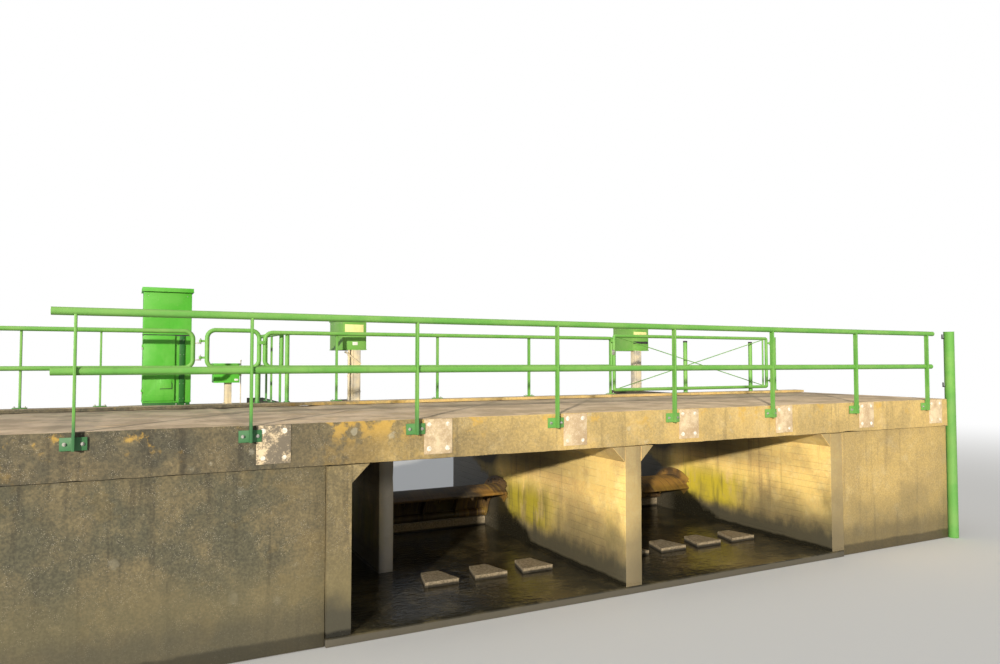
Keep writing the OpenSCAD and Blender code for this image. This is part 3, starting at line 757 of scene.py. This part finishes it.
def wear(bm, corner, low, high, chip, ripple):
    """Presses the points of corner in by up to about chip, and keeps them in the box."""
    for v in set(corner):
        if v.is_valid:
            dent = 0.5 + 0.5 * noise.noise(v.co * ripple)
            hole = noise.noise(v.co * ripple * CHIP_SPREAD + CHIP_SHIFT) - CHIP_RARITY
            v.co -= v.normal * chip * (dent * 0.5 + max(0.0, hole) * CHIP_BITE)
            v.co = Vector(min(max(c, a), b) for c, a, b in zip(v.co, low, high))


def worn(name, nodes, finish, spacing, width, chip, keep=None, ripple=7.0):
    """Worn concrete in place of CAD nodes: bevelled corners with chips pressed in."""
    bm = bmesh.new()
    for node in nodes:
        part = copy_of(node)
        slice_up(part, spacing)
        corner = soften(part, sharp_edges(part, keep), width)
        part.normal_update()
        wear(part, corner, *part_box(node), chip, ripple)
        whole = bpy.data.meshes.new("part")
        part.to_mesh(whole)
        part.free()
        bm.from_mesh(whole)
        bpy.data.meshes.remove(whole)
    make(bm, name, "structure", finish, nodes, smooth=30)


# %% [markdown]
# Bolts, welds, plates and caps are too small for the CAD model, but they say how the
# bridge is made. Each helper below adds one of them to a bmesh, on a matrix that stands
# on a surface: its origin is the point and its Z axis points outward. Instances of one
# mesh would be lighter, but one piece per group keeps the scene's list short.

# %% Small parts
UP, LEFT, RIGHT, TO_FRONT = (0, 0, 1), (-1, 0, 0), (1, 0, 0), (0, -1, 0)


def aimed(point, outward, roll=0.0):
    """A matrix that stands on a surface at point and looks outward."""
    turned = Vector(outward).to_track_quat("Z", "Y").to_matrix().to_4x4()
    return Matrix.Translation(point) @ turned @ Matrix.Rotation(roll, 4, "Z")


def disc(bm, where, low, high, radius, sides, top=1.0):
    """A round or many-sided disc between two heights, narrower above when top is less."""
    bmesh.ops.create_cone(
        bm, cap_ends=True, segments=sides, radius1=radius, radius2=radius * top,
        depth=high - low, matrix=where @ Matrix.Translation((0, 0, (low + high) / 2)),
    )


def ring(bm, where, radius, thick, steps=28):
    """A ring of round section, such as a weld bead or a seal."""
    section = where @ Matrix.Translation((radius, 0, 0)) @ Matrix.Rotation(math.pi / 2, 4, "X")
    start = bmesh.ops.create_circle(bm, segments=8, radius=thick, matrix=section)["verts"]
    bmesh.ops.spin(
        bm, geom=start + edges_at(start), cent=where.translation,
        axis=where.to_3x3() @ Vector(UP), angle=math.tau, steps=steps, use_merge=True,
    )


def plate(bm, low, high, edge):
    """A flat plate or box between two corners, with its edges rounded by edge."""
    low, high = Vector(low), Vector(high)
    sized = Matrix.Translation((low + high) / 2) @ Matrix.Diagonal((*(high - low), 1))
    made = bmesh.ops.create_cube(bm, size=1, matrix=sized)["verts"]
    if edge:
        soften(bm, edges_at(made), edge)


def band(bm, low, high, bottom, top, out, edge):
    """A band around a box between two heights, which stands proud of it by out."""
    plate(bm, (low.x - out, low.y - out, bottom), (high.x + out, high.y + out, top), edge)


def bolt(bm, where, size):
    """A washer, a nut and the end of its stud. size is the stud's radius."""
    disc(bm, where, -0.001, size * 0.35, size * 2.1, 24)
    disc(bm, where, size * 0.35, size * 1.9, size * 1.75, 6)
    disc(bm, where, size * 1.9, size * 2.1, size * 1.75, 6, 0.86)
    disc(bm, where, size * 2.1, size * 3.0, size, 16, 0.85)


# %% [markdown]
# Some CAD nodes hold many solids, such as all front posts. The small parts need the place
# of each one, and typed places would go wrong when the model changes. So the copy's
# points are gathered along its edges, and each group gives one box.

# %% Separate solids of a node
CENTIMETRES = 2


def islands(node):
    """The low and high corners of each separate solid of a CAD node, from left to right."""
    bm = copy_of(node)
    todo, found = set(bm.verts), []
    while todo:
        queue, seen = [todo.pop()], []
        while queue:
            v = queue.pop()
            seen.append(v.co.copy())
            for other in [e.other_vert(v) for e in v.link_edges]:
                if other in todo:
                    todo.remove(other)
                    queue.append(other)
        found.append([Vector([pick(c[i] for c in seen) for i in range(3)]) for pick in (min, max)])
    bm.free()
    return sorted(found, key=lambda box: (round(box[0].x, CENTIMETRES), box[0].y, box[0].z))


FRONT_POSTS = islands("front_posts")
REAR_POSTS = islands("rear_posts")
FENCE_POSTS = islands("upstream_fence_posts")
print(len(FRONT_POSTS), "front posts,", len(REAR_POSTS), "rear post parts,",
      len(FENCE_POSTS), "fence post parts")

# %% [markdown]
# The concrete comes first, because everything else stands on it. The deck's front edge
# is the most worn one, so it gets short cells and deep chips. Where two solids meet in
# one plane, such as the pier under the deck, the edge is left sharp so that no groove
# shows between them.

# %% Concrete pieces
MEETING = 0.004


def below_deck(mid):
    """True away from the underside of the deck, where walls and deck are one casting."""
    return mid.z < SOFFIT - MEETING


worn("deck_slab_piece", ["deck_slab"], deck_finish, (0.09, 0, 0), width=0.016, chip=0.022)
worn("rear_kerb_piece", ["rear_kerb"], kerb_finish, (0.12, 0, 0), width=0.010, chip=0.008,
     keep=lambda mid: mid.z > TOP + 0.01)
worn("bay_walls_piece", ["middle_pier", "left_side_wall", "right_side_wall", "divider_wall"],
     bay_finish, (0, 0.25, 0.16), width=0.010, chip=0.009,
     keep=lambda mid: abs(mid.z - SOFFIT) > MEETING and mid.z > BED + MEETING)
worn("haunches_piece", ["haunches"], bay_finish, (0, 0.25, 0), width=0.006, chip=0.004,
     keep=lambda mid: SOFFIT - 0.19 < mid.z < SOFFIT - 0.02)
worn("bank_walls_piece",
     ["left_front_wing_wall", "right_front_wing_wall", "left_rear_wing_wall",
      "right_rear_wing_wall", "end_walls"],
     wing_finish, (0.3, 0, 0.2), width=0.010, chip=0.008, keep=below_deck)
worn("service_plinth_piece", ["service_plinth"], kerb_finish, (0.15, 0.15, 0),
     width=0.012, chip=0.010, keep=lambda mid: mid.z > TOP - 0.01)
worn("gate_sills_piece", ["gate_sills"], block_finish, (0.2, 0, 0), width=0.008, chip=0.008)
worn("baffle_blocks_piece", ["left_baffle_blocks", "right_baffle_blocks"], block_finish,
     (0.045, 0.045, 0), width=0.011, chip=0.008, keep=lambda mid: mid.z > BED + 0.01, ripple=13)
worn("floor_slab_piece", ["floor_slab"], bed_finish, (0.3, 0.3, 0), width=0.008, chip=0.006)

# %% [markdown]
# The tubes and posts keep the shape of their solids, in a copy with smooth sides and
# softened cut edges. Subdivision would round them more, but it would also thin them.

# %% Railings
for node in ("front_top_rail", "front_mid_rail", "rear_left_panel", "rear_long_panel",
             "upstream_fence"):
    dressed(node, "structure", rail_green)
for node in ("front_posts", "rear_posts", "upstream_fence_posts", "guard_posts",
             "field_hinge_post", "round_gate_post"):
    dressed(node, "structure", rail_green, 0.002)
dressed("gate_hooks", "structure", bolt_zinc, 0.0015)
dressed("round_post_hooks", "structure", rubber_and_painted_shade, 0.0015)
dressed("service_gate", "service_gate", rail_green, 0.0015)
dressed("field_gate", "field_gate", rail_green, 0.0015)

# %% [markdown]
# Each front post is bolted to the fascia through its base plate. An older railing stood
# a little to the right of most posts: its plates are gone, and pale mortar fills the
# places, with a plug in each of the four bolt holes. A sine of the post's number keeps
# them from looking copied, and needs no random draw.

# %% Bolts and mortar of the front posts
PLATE_THICK, BOLT_RISE, BOLT_REACH = 0.015, 0.061, 0.073
PATCH_WIDE, PATCH_DROP, PATCH_UP, PATCH_DOWN = 0.345, 0.21, 0.196, 0.20
PATCH_SHIFT, FIRST_SHIFT = 0.112, 0.055
PLUG_ACROSS, PLUG_UP, PLUG_RADIUS = 0.108, 0.137, 0.028
bm, patches, plugs = bmesh.new(), bmesh.new(), bmesh.new()
for number, (low, high) in enumerate(FRONT_POSTS):
    x = (low.x + high.x) / 2
    for side in (-BOLT_REACH, BOLT_REACH):
        spot = (x + side, FRONT - PLATE_THICK, low.z + BOLT_RISE)
        bolt(bm, aimed(spot, TO_FRONT, number * 0.7 + side * 9), 0.0085)
    if number == 0:
        continue
    z = TOP - PATCH_DROP
    aside = FIRST_SHIFT if number == 1 else PATCH_SHIFT
    start = x + aside + 0.008 * math.sin(number * 2.3)
    plate(patches, (start, FRONT - 0.0035, z - PATCH_DOWN),
          (start + PATCH_WIDE, FRONT + 0.004, z + PATCH_UP), 0.002)
    for dx in (-PLUG_ACROSS, PLUG_ACROSS):
        for dz in (-PLUG_UP, PLUG_UP):
            plug_x = start + 0.172 + dx + 0.006 * math.sin(number * 5 + dx * 40)
            radius = PLUG_RADIUS + 0.003 * math.sin(number * 3 + dz * 30)
            disc(plugs, aimed((plug_x, FRONT, z + dz), TO_FRONT), 0.0, 0.0055, radius, 22, 0.88)
finished(bm, "front_plate_bolts", "structure", bolt_zinc)
finished(patches, "old_plate_patches", "structure", patch_mortar)
finished(plugs, "old_bolt_plugs", "structure", plug_mortar)

# %% [markdown]
# On the kerb and on the upstream wall, the plates lie flat and take two bolts each. A
# base plate is told from a post by its width. The round posts have a ring at their foot,
# and black caps close the tall guard posts.

# %% Bolts and caps of the rear posts
NARROWEST_PLATE, WIDEST_PLATE = 0.13, 0.3
PLATE_TOP, THIN = 0.010, 0.02
CAP_RADIUS = 0.0405
bm, caps = bmesh.new(), bmesh.new()
for low, high in REAR_POSTS + FENCE_POSTS:
    size = high - low
    if not NARROWEST_PLATE <= max(size.x, size.y) <= WIDEST_PLATE:
        continue
    reach = max(size.x, size.y) / 2 - 0.022
    across = Vector(RIGHT if size.x > size.y + 0.03 else (0, 1, 0))
    lift = low.z + (PLATE_TOP if size.z > THIN else size.z)
    centre = (low + high) / 2
    for side in (-1, 1):
        spot = centre + across * side * reach
        bolt(bm, aimed((spot.x, spot.y, lift), UP, side * 0.4), 0.0065)
for low, high in islands("guard_posts") + [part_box("field_hinge_post")]:
    x, y, r = (low.x + high.x) / 2, (low.y + high.y) / 2, (high.x - low.x) / 2
    ring(bm, aimed((x, y, low.z + 0.012), UP), r - 0.008, 0.004)
for low, high in islands("guard_posts"):
    spot = aimed(((low.x + high.x) / 2, (low.y + high.y) / 2, high.z), UP)
    disc(caps, spot, -0.022, 0.004, CAP_RADIUS, 32)
    disc(caps, spot, 0.004, 0.009, CAP_RADIUS, 32, 0.82)
finished(bm, "rear_plate_bolts", "structure", bolt_zinc)
finished(caps, "guard_post_caps", "structure", rubber_and_painted_shade)

# %% [markdown]
# Welds join the tubes to the posts and close the tube ends. On the real bridge they are
# painted over, so they show as small beads in the rails' own green. A ring runs around
# a front tube at each post. The foot of the front posts and the flat rear posts have
# short upright beads instead.

# %% Weld beads
BEAD, REAR_RADIUS = 0.0016, 0.03015
bm = bmesh.new()
for node in ("front_top_rail", "front_mid_rail"):
    low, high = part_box(node)
    y, z, r = (low.y + high.y) / 2, (low.z + high.z) / 2, (high.z - low.z) / 2
    for post_low, post_high in FRONT_POSTS:
        x = (post_low.x + post_high.x) / 2
        for side in (-0.0125, 0.0125):
            ring(bm, aimed((x + side, y, z), LEFT), r - BEAD, BEAD, 24)
    for x, outward in ((low.x, LEFT), (high.x, RIGHT)):
        ring(bm, aimed((x, y, z), outward), r - 0.002, 0.0022, 24)
for low, high in FRONT_POSTS:
    y = FRONT - PLATE_THICK
    for x in ((low.x + high.x) / 2 - 0.0135, (low.x + high.x) / 2 + 0.0135):
        plate(bm, (x - 0.003, y - 0.004, low.z + 0.002),
              (x + 0.003, y + 0.001, low.z + 0.120), 0.0018)
for node in ("rear_left_panel", "rear_long_panel"):
    low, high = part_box(node)
    y = (low.y + high.y) / 2
    for post_low, post_high in REAR_POSTS:
        middle = (post_low.x + post_high.x) / 2
        if post_high.z < TOP + 1.0 or not low.x + 0.1 < middle < high.x - 0.1:
            continue
        for z in (high.z - REAR_RADIUS, low.z + REAR_RADIUS):
            for x in (middle - 0.013, middle + 0.013):
                plate(bm, (x - 0.0025, y + 0.026, z - 0.022),
                      (x + 0.0025, y + 0.032, z + 0.022), 0.0015)
finished(bm, "rail_welds", "structure", rail_green)

# %% [markdown]
# A small box on the free end of the field gate carries its latch, with a round knob. The
# round post has two weld rings, one just under its top and one low down. Rings that are
# spun cost few faces and need no cut in the post.

# %% Latch and weld rings
RING_RADIUS = 0.0826
post_low, post_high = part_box("round_gate_post")
centre = (post_low + post_high) / 2
bm = bmesh.new()
ring(bm, aimed((centre.x, centre.y, post_high.z - 0.008), UP), RING_RADIUS, 0.0022, 48)
ring(bm, aimed((centre.x, centre.y, TOP - 0.42), UP), RING_RADIUS, 0.002, 48)
finished(bm, "round_post_welds", "structure", rail_green)
gate_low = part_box("field_gate")[0]
bm = bmesh.new()
spot = Vector((gate_low.x + 0.0302, gate_low.y + 0.004, TOP + 0.80))
plate(bm, spot + Vector((-0.026, -0.014, -0.045)), spot + Vector((0.026, 0.0, 0.045)), 0.003)
disc(bm, aimed(spot + Vector((0.008, -0.014, 0.0)), TO_FRONT), 0.0, 0.016, 0.010, 20, 0.85)
finished(bm, "field_gate_latch", "field_gate", bolt_zinc)

# %% [markdown]
# The cabinet and the boxes are folded sheet steel, so their edges are rounded by a few
# millimetres. A sharp edge would catch no light and look like paper.

# %% Cabinet and boxes
for node, finish, slot in (
    ("cabinet_base", dark_green, "dark_green_paint"),
    ("cabinet_body", cabinet_green, "green_paint"),
    ("cabinet_roof", cabinet_green, "green_paint"),
    ("cable_cover", dark_green, "dark_green_paint"),
    ("cabinet_hinges", bolt_zinc, "zinc"), ("level_box", level_green, "green_paint"),
    ("level_box_column", column_zinc, "zinc"), ("drive_housings", box_green, "green_paint"),
    ("drive_columns", column_zinc, "zinc"),
):
    dressed(node, "structure", finish, 0.003)
dressed("cabinet_door", "cabinet_door", cabinet_green, 0.002)

# %% [markdown]
# Its panels show thin folds, and the roof has a drip edge. Each is a band around a box.
# Under the seam a black band stands for the shade in its gap: painted shade. Small screws
# hold the panels and the cable cover.

# %% Cabinet details
SEAM = TOP + 1.02
low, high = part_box("cabinet_body")
bm, dark, bright = bmesh.new(), bmesh.new(), bmesh.new()
for z, tall, out in (
    (SEAM, 0.012, 0.005), (SEAM + 0.33, 0.006, 0.003), (low.z + 0.012, 0.016, 0.004),
):
    band(bm, low, high, z, z + tall, out, 0.002)
# A black band under the seam: painted shade in its gap
plate(dark, (low.x - 0.001, low.y - 0.0012, SEAM - 0.020),
      (high.x + 0.001, high.y + 0.001, SEAM + 0.0005), 0.0)
roof_low, roof_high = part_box("cabinet_roof")
band(bm, roof_low, roof_high, roof_low.z - 0.004, roof_low.z + 0.010, 0.004, 0.002)
cable_low, cable_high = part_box("cable_cover")
for k in range(5):
    z = cable_low.z + 0.06 + k * (cable_high.z - cable_low.z - 0.12) / 4
    for x in (cable_low.x + 0.012, cable_high.x - 0.012):
        disc(bright, aimed((x, cable_low.y, z), TO_FRONT), 0.0, 0.004, 0.005, 14, 0.7)
base_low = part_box("cabinet_base")[0]
for x in (low.x + 0.44, low.x + 0.56):
    bolt(bright, aimed((x, base_low.y, base_low.z + 0.028), TO_FRONT), 0.005)
for x in (low.x + 0.06, high.x - 0.06):
    for z in (SEAM + 0.06, SEAM + 0.28, high.z - 0.06):
        disc(bright, aimed((x, low.y, z), TO_FRONT), 0.0, 0.003, 0.006, 14, 0.75)
finished(bm, "cabinet_folds", "structure", cabinet_green)
finished(dark, "cabinet_seam_shade", "structure", rubber_and_painted_shade)
finished(bright, "cabinet_screws", "structure", bolt_zinc)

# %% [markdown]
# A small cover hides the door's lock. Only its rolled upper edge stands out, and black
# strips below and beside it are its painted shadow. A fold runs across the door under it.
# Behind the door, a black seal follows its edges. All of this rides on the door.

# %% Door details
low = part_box("cabinet_body")[0]
door_low, door_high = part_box("cabinet_door")
bm, dark = bmesh.new(), bmesh.new()
cover_low = Vector((low.x + 0.220, door_low.y, door_low.z + 0.175))
cover_high = Vector((low.x + 0.375, door_low.y + 0.010, door_low.z + 0.303))
roll = aimed((cover_low.x + 0.006, cover_high.y - 0.0045, cover_high.z), RIGHT)
disc(bm, roll, 0.0, 0.143, 0.0045, 14)
plate(bm, (low.x + 0.010, cover_high.y - 0.0025, door_low.z + 0.071),
      (low.x + 0.407, cover_high.y, door_low.z + 0.078), 0.001)
finished(bm, "cabinet_door_lock", "cabinet_door", cabinet_green)
# Black strips below and beside the cover: its painted shadow
for x0, z0, x1, z1 in (
    (cover_low.x + 0.004, cover_low.z - 0.009, cover_high.x + 0.009, cover_low.z + 0.004),
    (cover_high.x - 0.004, cover_low.z + 0.004, cover_high.x + 0.009, cover_high.z - 0.050),
):
    plate(dark, (x0, cover_low.y + 0.003, z0), (x1, cover_high.y, z1), 0.0008)
for x0, x1, z0, z1 in (
    (low.x + 0.009, low.x + 0.017, door_low.z + 0.010, door_high.z - 0.010),
    (low.x + 0.400, low.x + 0.408, door_low.z + 0.010, door_high.z - 0.010),
    (low.x + 0.009, low.x + 0.408, door_low.z + 0.006, door_low.z + 0.014),
    (low.x + 0.009, low.x + 0.408, door_high.z - 0.014, door_high.z - 0.006),
):
    plate(dark, (x0, door_high.y - 0.0005, z0), (x1, door_high.y + 0.0035, z1), 0.001)
finished(dark, "cabinet_door_seal_and_shadow", "cabinet_door", rubber_and_painted_shade)

# %% [markdown]
# The level box has a bare pale label, a thin rod beside it and a lid with a lip. Its
# column stands on a foot plate, and the columns of the drives are bolted down too. The
# parts of one finish are gathered here and in the next two cells, and made one piece.

# %% Level box and foot bolts
FOOT_MARGIN, FOOT_THICK, DRIVE_FOOT_THICK = 0.02, 0.008, 0.015
bolts, labels, yellow, grey, lips = (bmesh.new() for each in range(5))
low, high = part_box("level_box")
y = low.y + 0.010
plate(labels, (high.x - 0.085, y - 0.002, low.z + 0.03),
      (high.x - 0.03, y + 0.001, low.z + 0.058), 0.0006)
rod = aimed((high.x + 0.012, y + 0.05, TOP + 0.02), UP)
disc(grey, rod, -0.02, 0.62, 0.007, 14)
disc(grey, rod, 0.62, 0.64, 0.012, 14, 0.8)
plate(grey, (high.x - 0.012, y + 0.035, low.z + 0.10),
      (high.x + 0.022, y + 0.065, low.z + 0.13), 0.002)
band(lips, low, high, high.z - 0.020, high.z - 0.014, 0.001, 0.001)


def foot_bolts(low, high, thick):
    """A bolt near each corner of a foot plate."""
    for x in (low.x + 0.014, high.x - 0.014):
        for y in (low.y + 0.014, high.y - 0.014):
            bolt(bolts, aimed((x, y, low.z + thick), UP), 0.005)


low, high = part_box("level_box_column")
band(grey, low, high, low.z, low.z + FOOT_THICK, FOOT_MARGIN, 0.002)
margin = Vector((FOOT_MARGIN, FOOT_MARGIN, 0))
foot_bolts(low - margin, high + margin, FOOT_THICK)
for low, high in islands("drive_columns"):
    foot_bolts(low, high, DRIVE_FOOT_THICK)
print("box and columns have", len(bolts.faces), "faces of bolts")

# %% [markdown]
# The left one also has a small pale label, the right one a black strip that is a painted
# shadow. Their boxes are set back a little from the lids that give the CAD solids their
# size.

# %% Drive housings
SET_BACK, LIP_OUT = 0.012, 0.006
near_drive, far_drive = islands("drive_housings")
dark = bmesh.new()


def on_front(bm, drive, left, right, bottom, top, proud, edge):
    """A plate on a housing's front, by its distance from both sides and its heights."""
    low, high = drive
    x, y, wide = low.x + SET_BACK, low.y + SET_BACK, high.x - low.x - 2 * SET_BACK
    plate(bm, (x + left, y - proud, low.z + bottom),
          (x + wide - right, y + 0.001, low.z + top), edge)


def lower_lip(drive, tall):
    """The folded lip around the foot of a housing."""
    low, high = drive
    x, y, wide = low.x + SET_BACK, low.y + SET_BACK, high.x - low.x - 2 * SET_BACK
    plate(lips, (x - LIP_OUT, y - LIP_OUT, low.z),
          (x + wide + LIP_OUT, high.y - LIP_OUT, low.z + tall), 0.002)


on_front(yellow, near_drive, 0.03, 0.045, 0.235, 0.395, proud=0.002, edge=0.001)
x, y, z = near_drive[0].x + SET_BACK, near_drive[0].y + SET_BACK, near_drive[0].z
plate(labels, (x + 0.150, y - 0.005, z + 0.075), (x + 0.230, y + 0.001, z + 0.125), 0.0008)
lower_lip(near_drive, 0.014)
on_front(lips, near_drive, 0.02, 0.02, 0.02, 0.215, proud=0.003, edge=0.002)
on_front(yellow, far_drive, 0.03, 0.05, 0.30, 0.405, proud=0.002, edge=0.001)
lower_lip(far_drive, 0.016)
on_front(lips, far_drive, 0.02, 0.02, 0.02, 0.10, proud=0.003, edge=0.002)
# A black strip on the right housing's front: painted shadow
on_front(dark, far_drive, 0.015, 0.015, 0.15, 0.20, proud=0.004, edge=0.001)
for k in range(4):
    for low, high in (near_drive, far_drive):
        along = (high.y - low.y - 2 * SET_BACK) * (0.14 + 0.24 * k)
        spot = (low.x + SET_BACK, low.y + SET_BACK + along, high.z - 0.060)
        disc(bolts, aimed(spot, LEFT), 0.0, 0.004, 0.008, 16, 0.75)
finished(dark, "drive_shadow_strip", "structure", rubber_and_painted_shade)

# %% [markdown]
# Each drive stands on a column with two clamps and two upright strips. A grey pipe with
# three collars runs up beside the left one, and a short brace leans against it. The
# parts that were gathered are then made pieces, one for each finish.

# %% Column fittings
CLAMP_OUT, CLAMP_TALL = 0.004, 0.022
PIPE_RADIUS, COLLAR_RADIUS, BRACE_LONG = 0.019, 0.025, 0.30
for low, high in islands("drive_columns"):
    x, y, half = (low.x + high.x) / 2, (low.y + high.y) / 2, (high.x - low.x) / 2 - 0.025
    reach = half + CLAMP_OUT
    for z in (low.z + 0.16, low.z + 0.52):
        plate(grey, (x - reach, y - reach, z), (x + reach, y + reach, z + CLAMP_TALL), 0.002)
    for strip in (x - (half - 0.020), x + (half - 0.020)):
        plate(grey, (strip - 0.012, y - half - 0.003, low.z + 0.016),
              (strip + 0.012, y - half + 0.002, high.z), 0.0012)
corner, under = islands("drive_columns")[0][0], near_drive[0].z
side_x, front_y = corner.x - 0.012, corner.y + 0.004
pipe = aimed((side_x, front_y + 0.05, TOP), UP)
disc(grey, pipe, -0.02, under - TOP + 0.01, PIPE_RADIUS, 20)
for z in (0.05, 0.40, 0.72):
    disc(grey, pipe, z, z + 0.018, COLLAR_RADIUS, 20)
brace = aimed((side_x - 0.07, front_y, under - 0.03), (0.23, 0, -0.18))
disc(grey, brace, 0.0, BRACE_LONG, 0.013, 16)
disc(grey, brace, -0.006, 0.010, PIPE_RADIUS, 16)
disc(grey, brace, 0.29, 0.306, PIPE_RADIUS, 16)
finished(bolts, "box_bolts", "structure", bolt_zinc)
finished(labels, "bare_labels", "structure", white_plate)
finished(yellow, "drive_plates", "structure", yellow_plate)
finished(grey, "column_fittings", "structure", column_zinc)
finished(lips, "housing_lips", "structure", box_green)

# %% [markdown]
# The two flaps turn on pins in the walls. A round bar runs along the lip of each, and
# bolts sit near both of its ends, under the crest. Their places are read from the flap's
# own mesh, because it rests at a slant.

# %% Flaps
dressed("flap_pins", "structure", flap_finish, 0.002)
dressed("left_flap", "left_flap", flap_finish, 0.002)
dressed("right_flap", "right_flap", flap_finish, 0.002)
END_GAP, CROWN_DEPTH, BOLT_DEPTH, BOLT_COUNT = 0.02, 0.30, 0.055, 9


def flap_details(name):
    """The lip bar and the end bolts of a flap, which ride on it."""
    low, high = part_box(name)
    near = [v.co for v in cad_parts[name].data.vertices if v.co.x < low.x + 0.001]
    lip = min(near, key=lambda c: c.y + c.z * 0.2)
    bm = bmesh.new()
    bar = aimed((low.x + END_GAP, lip.y + 0.014, lip.z + 0.012), RIGHT)
    disc(bm, bar, 0.0, high.x - low.x - 2 * END_GAP, 0.010, 16)
    crown = sorted((c for c in near if c.z > high.z - CROWN_DEPTH), key=lambda c: c.y)
    for c in crown[:: max(1, len(crown) // BOLT_COUNT)]:
        for x, out in ((low.x + 0.016, RIGHT), (high.x - 0.016, LEFT)):
            spot = Vector((x, c.y, c.z - BOLT_DEPTH))
            if spot.z > low.z + 0.05:
                disc(bm, aimed(spot, out), -0.002, 0.010, 0.014, 6, 0.95)
    finished(bm, name + "_fittings", name, flap_finish)


flap_details("left_flap")
flap_details("right_flap")

# %% [markdown]
# Each pin has a round flange on its wall, held by a ring of six screws. The flange faces
# right where the pin starts at the right side of a wall, and left otherwise.

# %% Flange screws
FLANGE_THICK, SCREW_CIRCLE, SCREWS, TOUCH = 0.008, 0.066, 6, 0.002
right_sides = [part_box(wall)[1].x for wall in ("divider_wall", "middle_pier")]
bm = bmesh.new()
for low, high in islands("flap_pins"):
    y, z = (low.y + high.y) / 2, (low.z + high.z) / 2
    faces_right = any(abs(low.x - side) < TOUCH for side in right_sides)
    x = low.x + FLANGE_THICK if faces_right else high.x - FLANGE_THICK
    for k in range(SCREWS):
        turn = math.tau * (k + 0.5) / SCREWS
        spot = (x, y + SCREW_CIRCLE * math.cos(turn), z + SCREW_CIRCLE * math.sin(turn))
        disc(bm, aimed(spot, RIGHT if faces_right else LEFT), -0.001, 0.0035, 0.007, 6, 0.9)
finished(bm, "flap_pin_screws", "structure", bolt_zinc)

# %% Finish
bpy.context.view_layer.update()
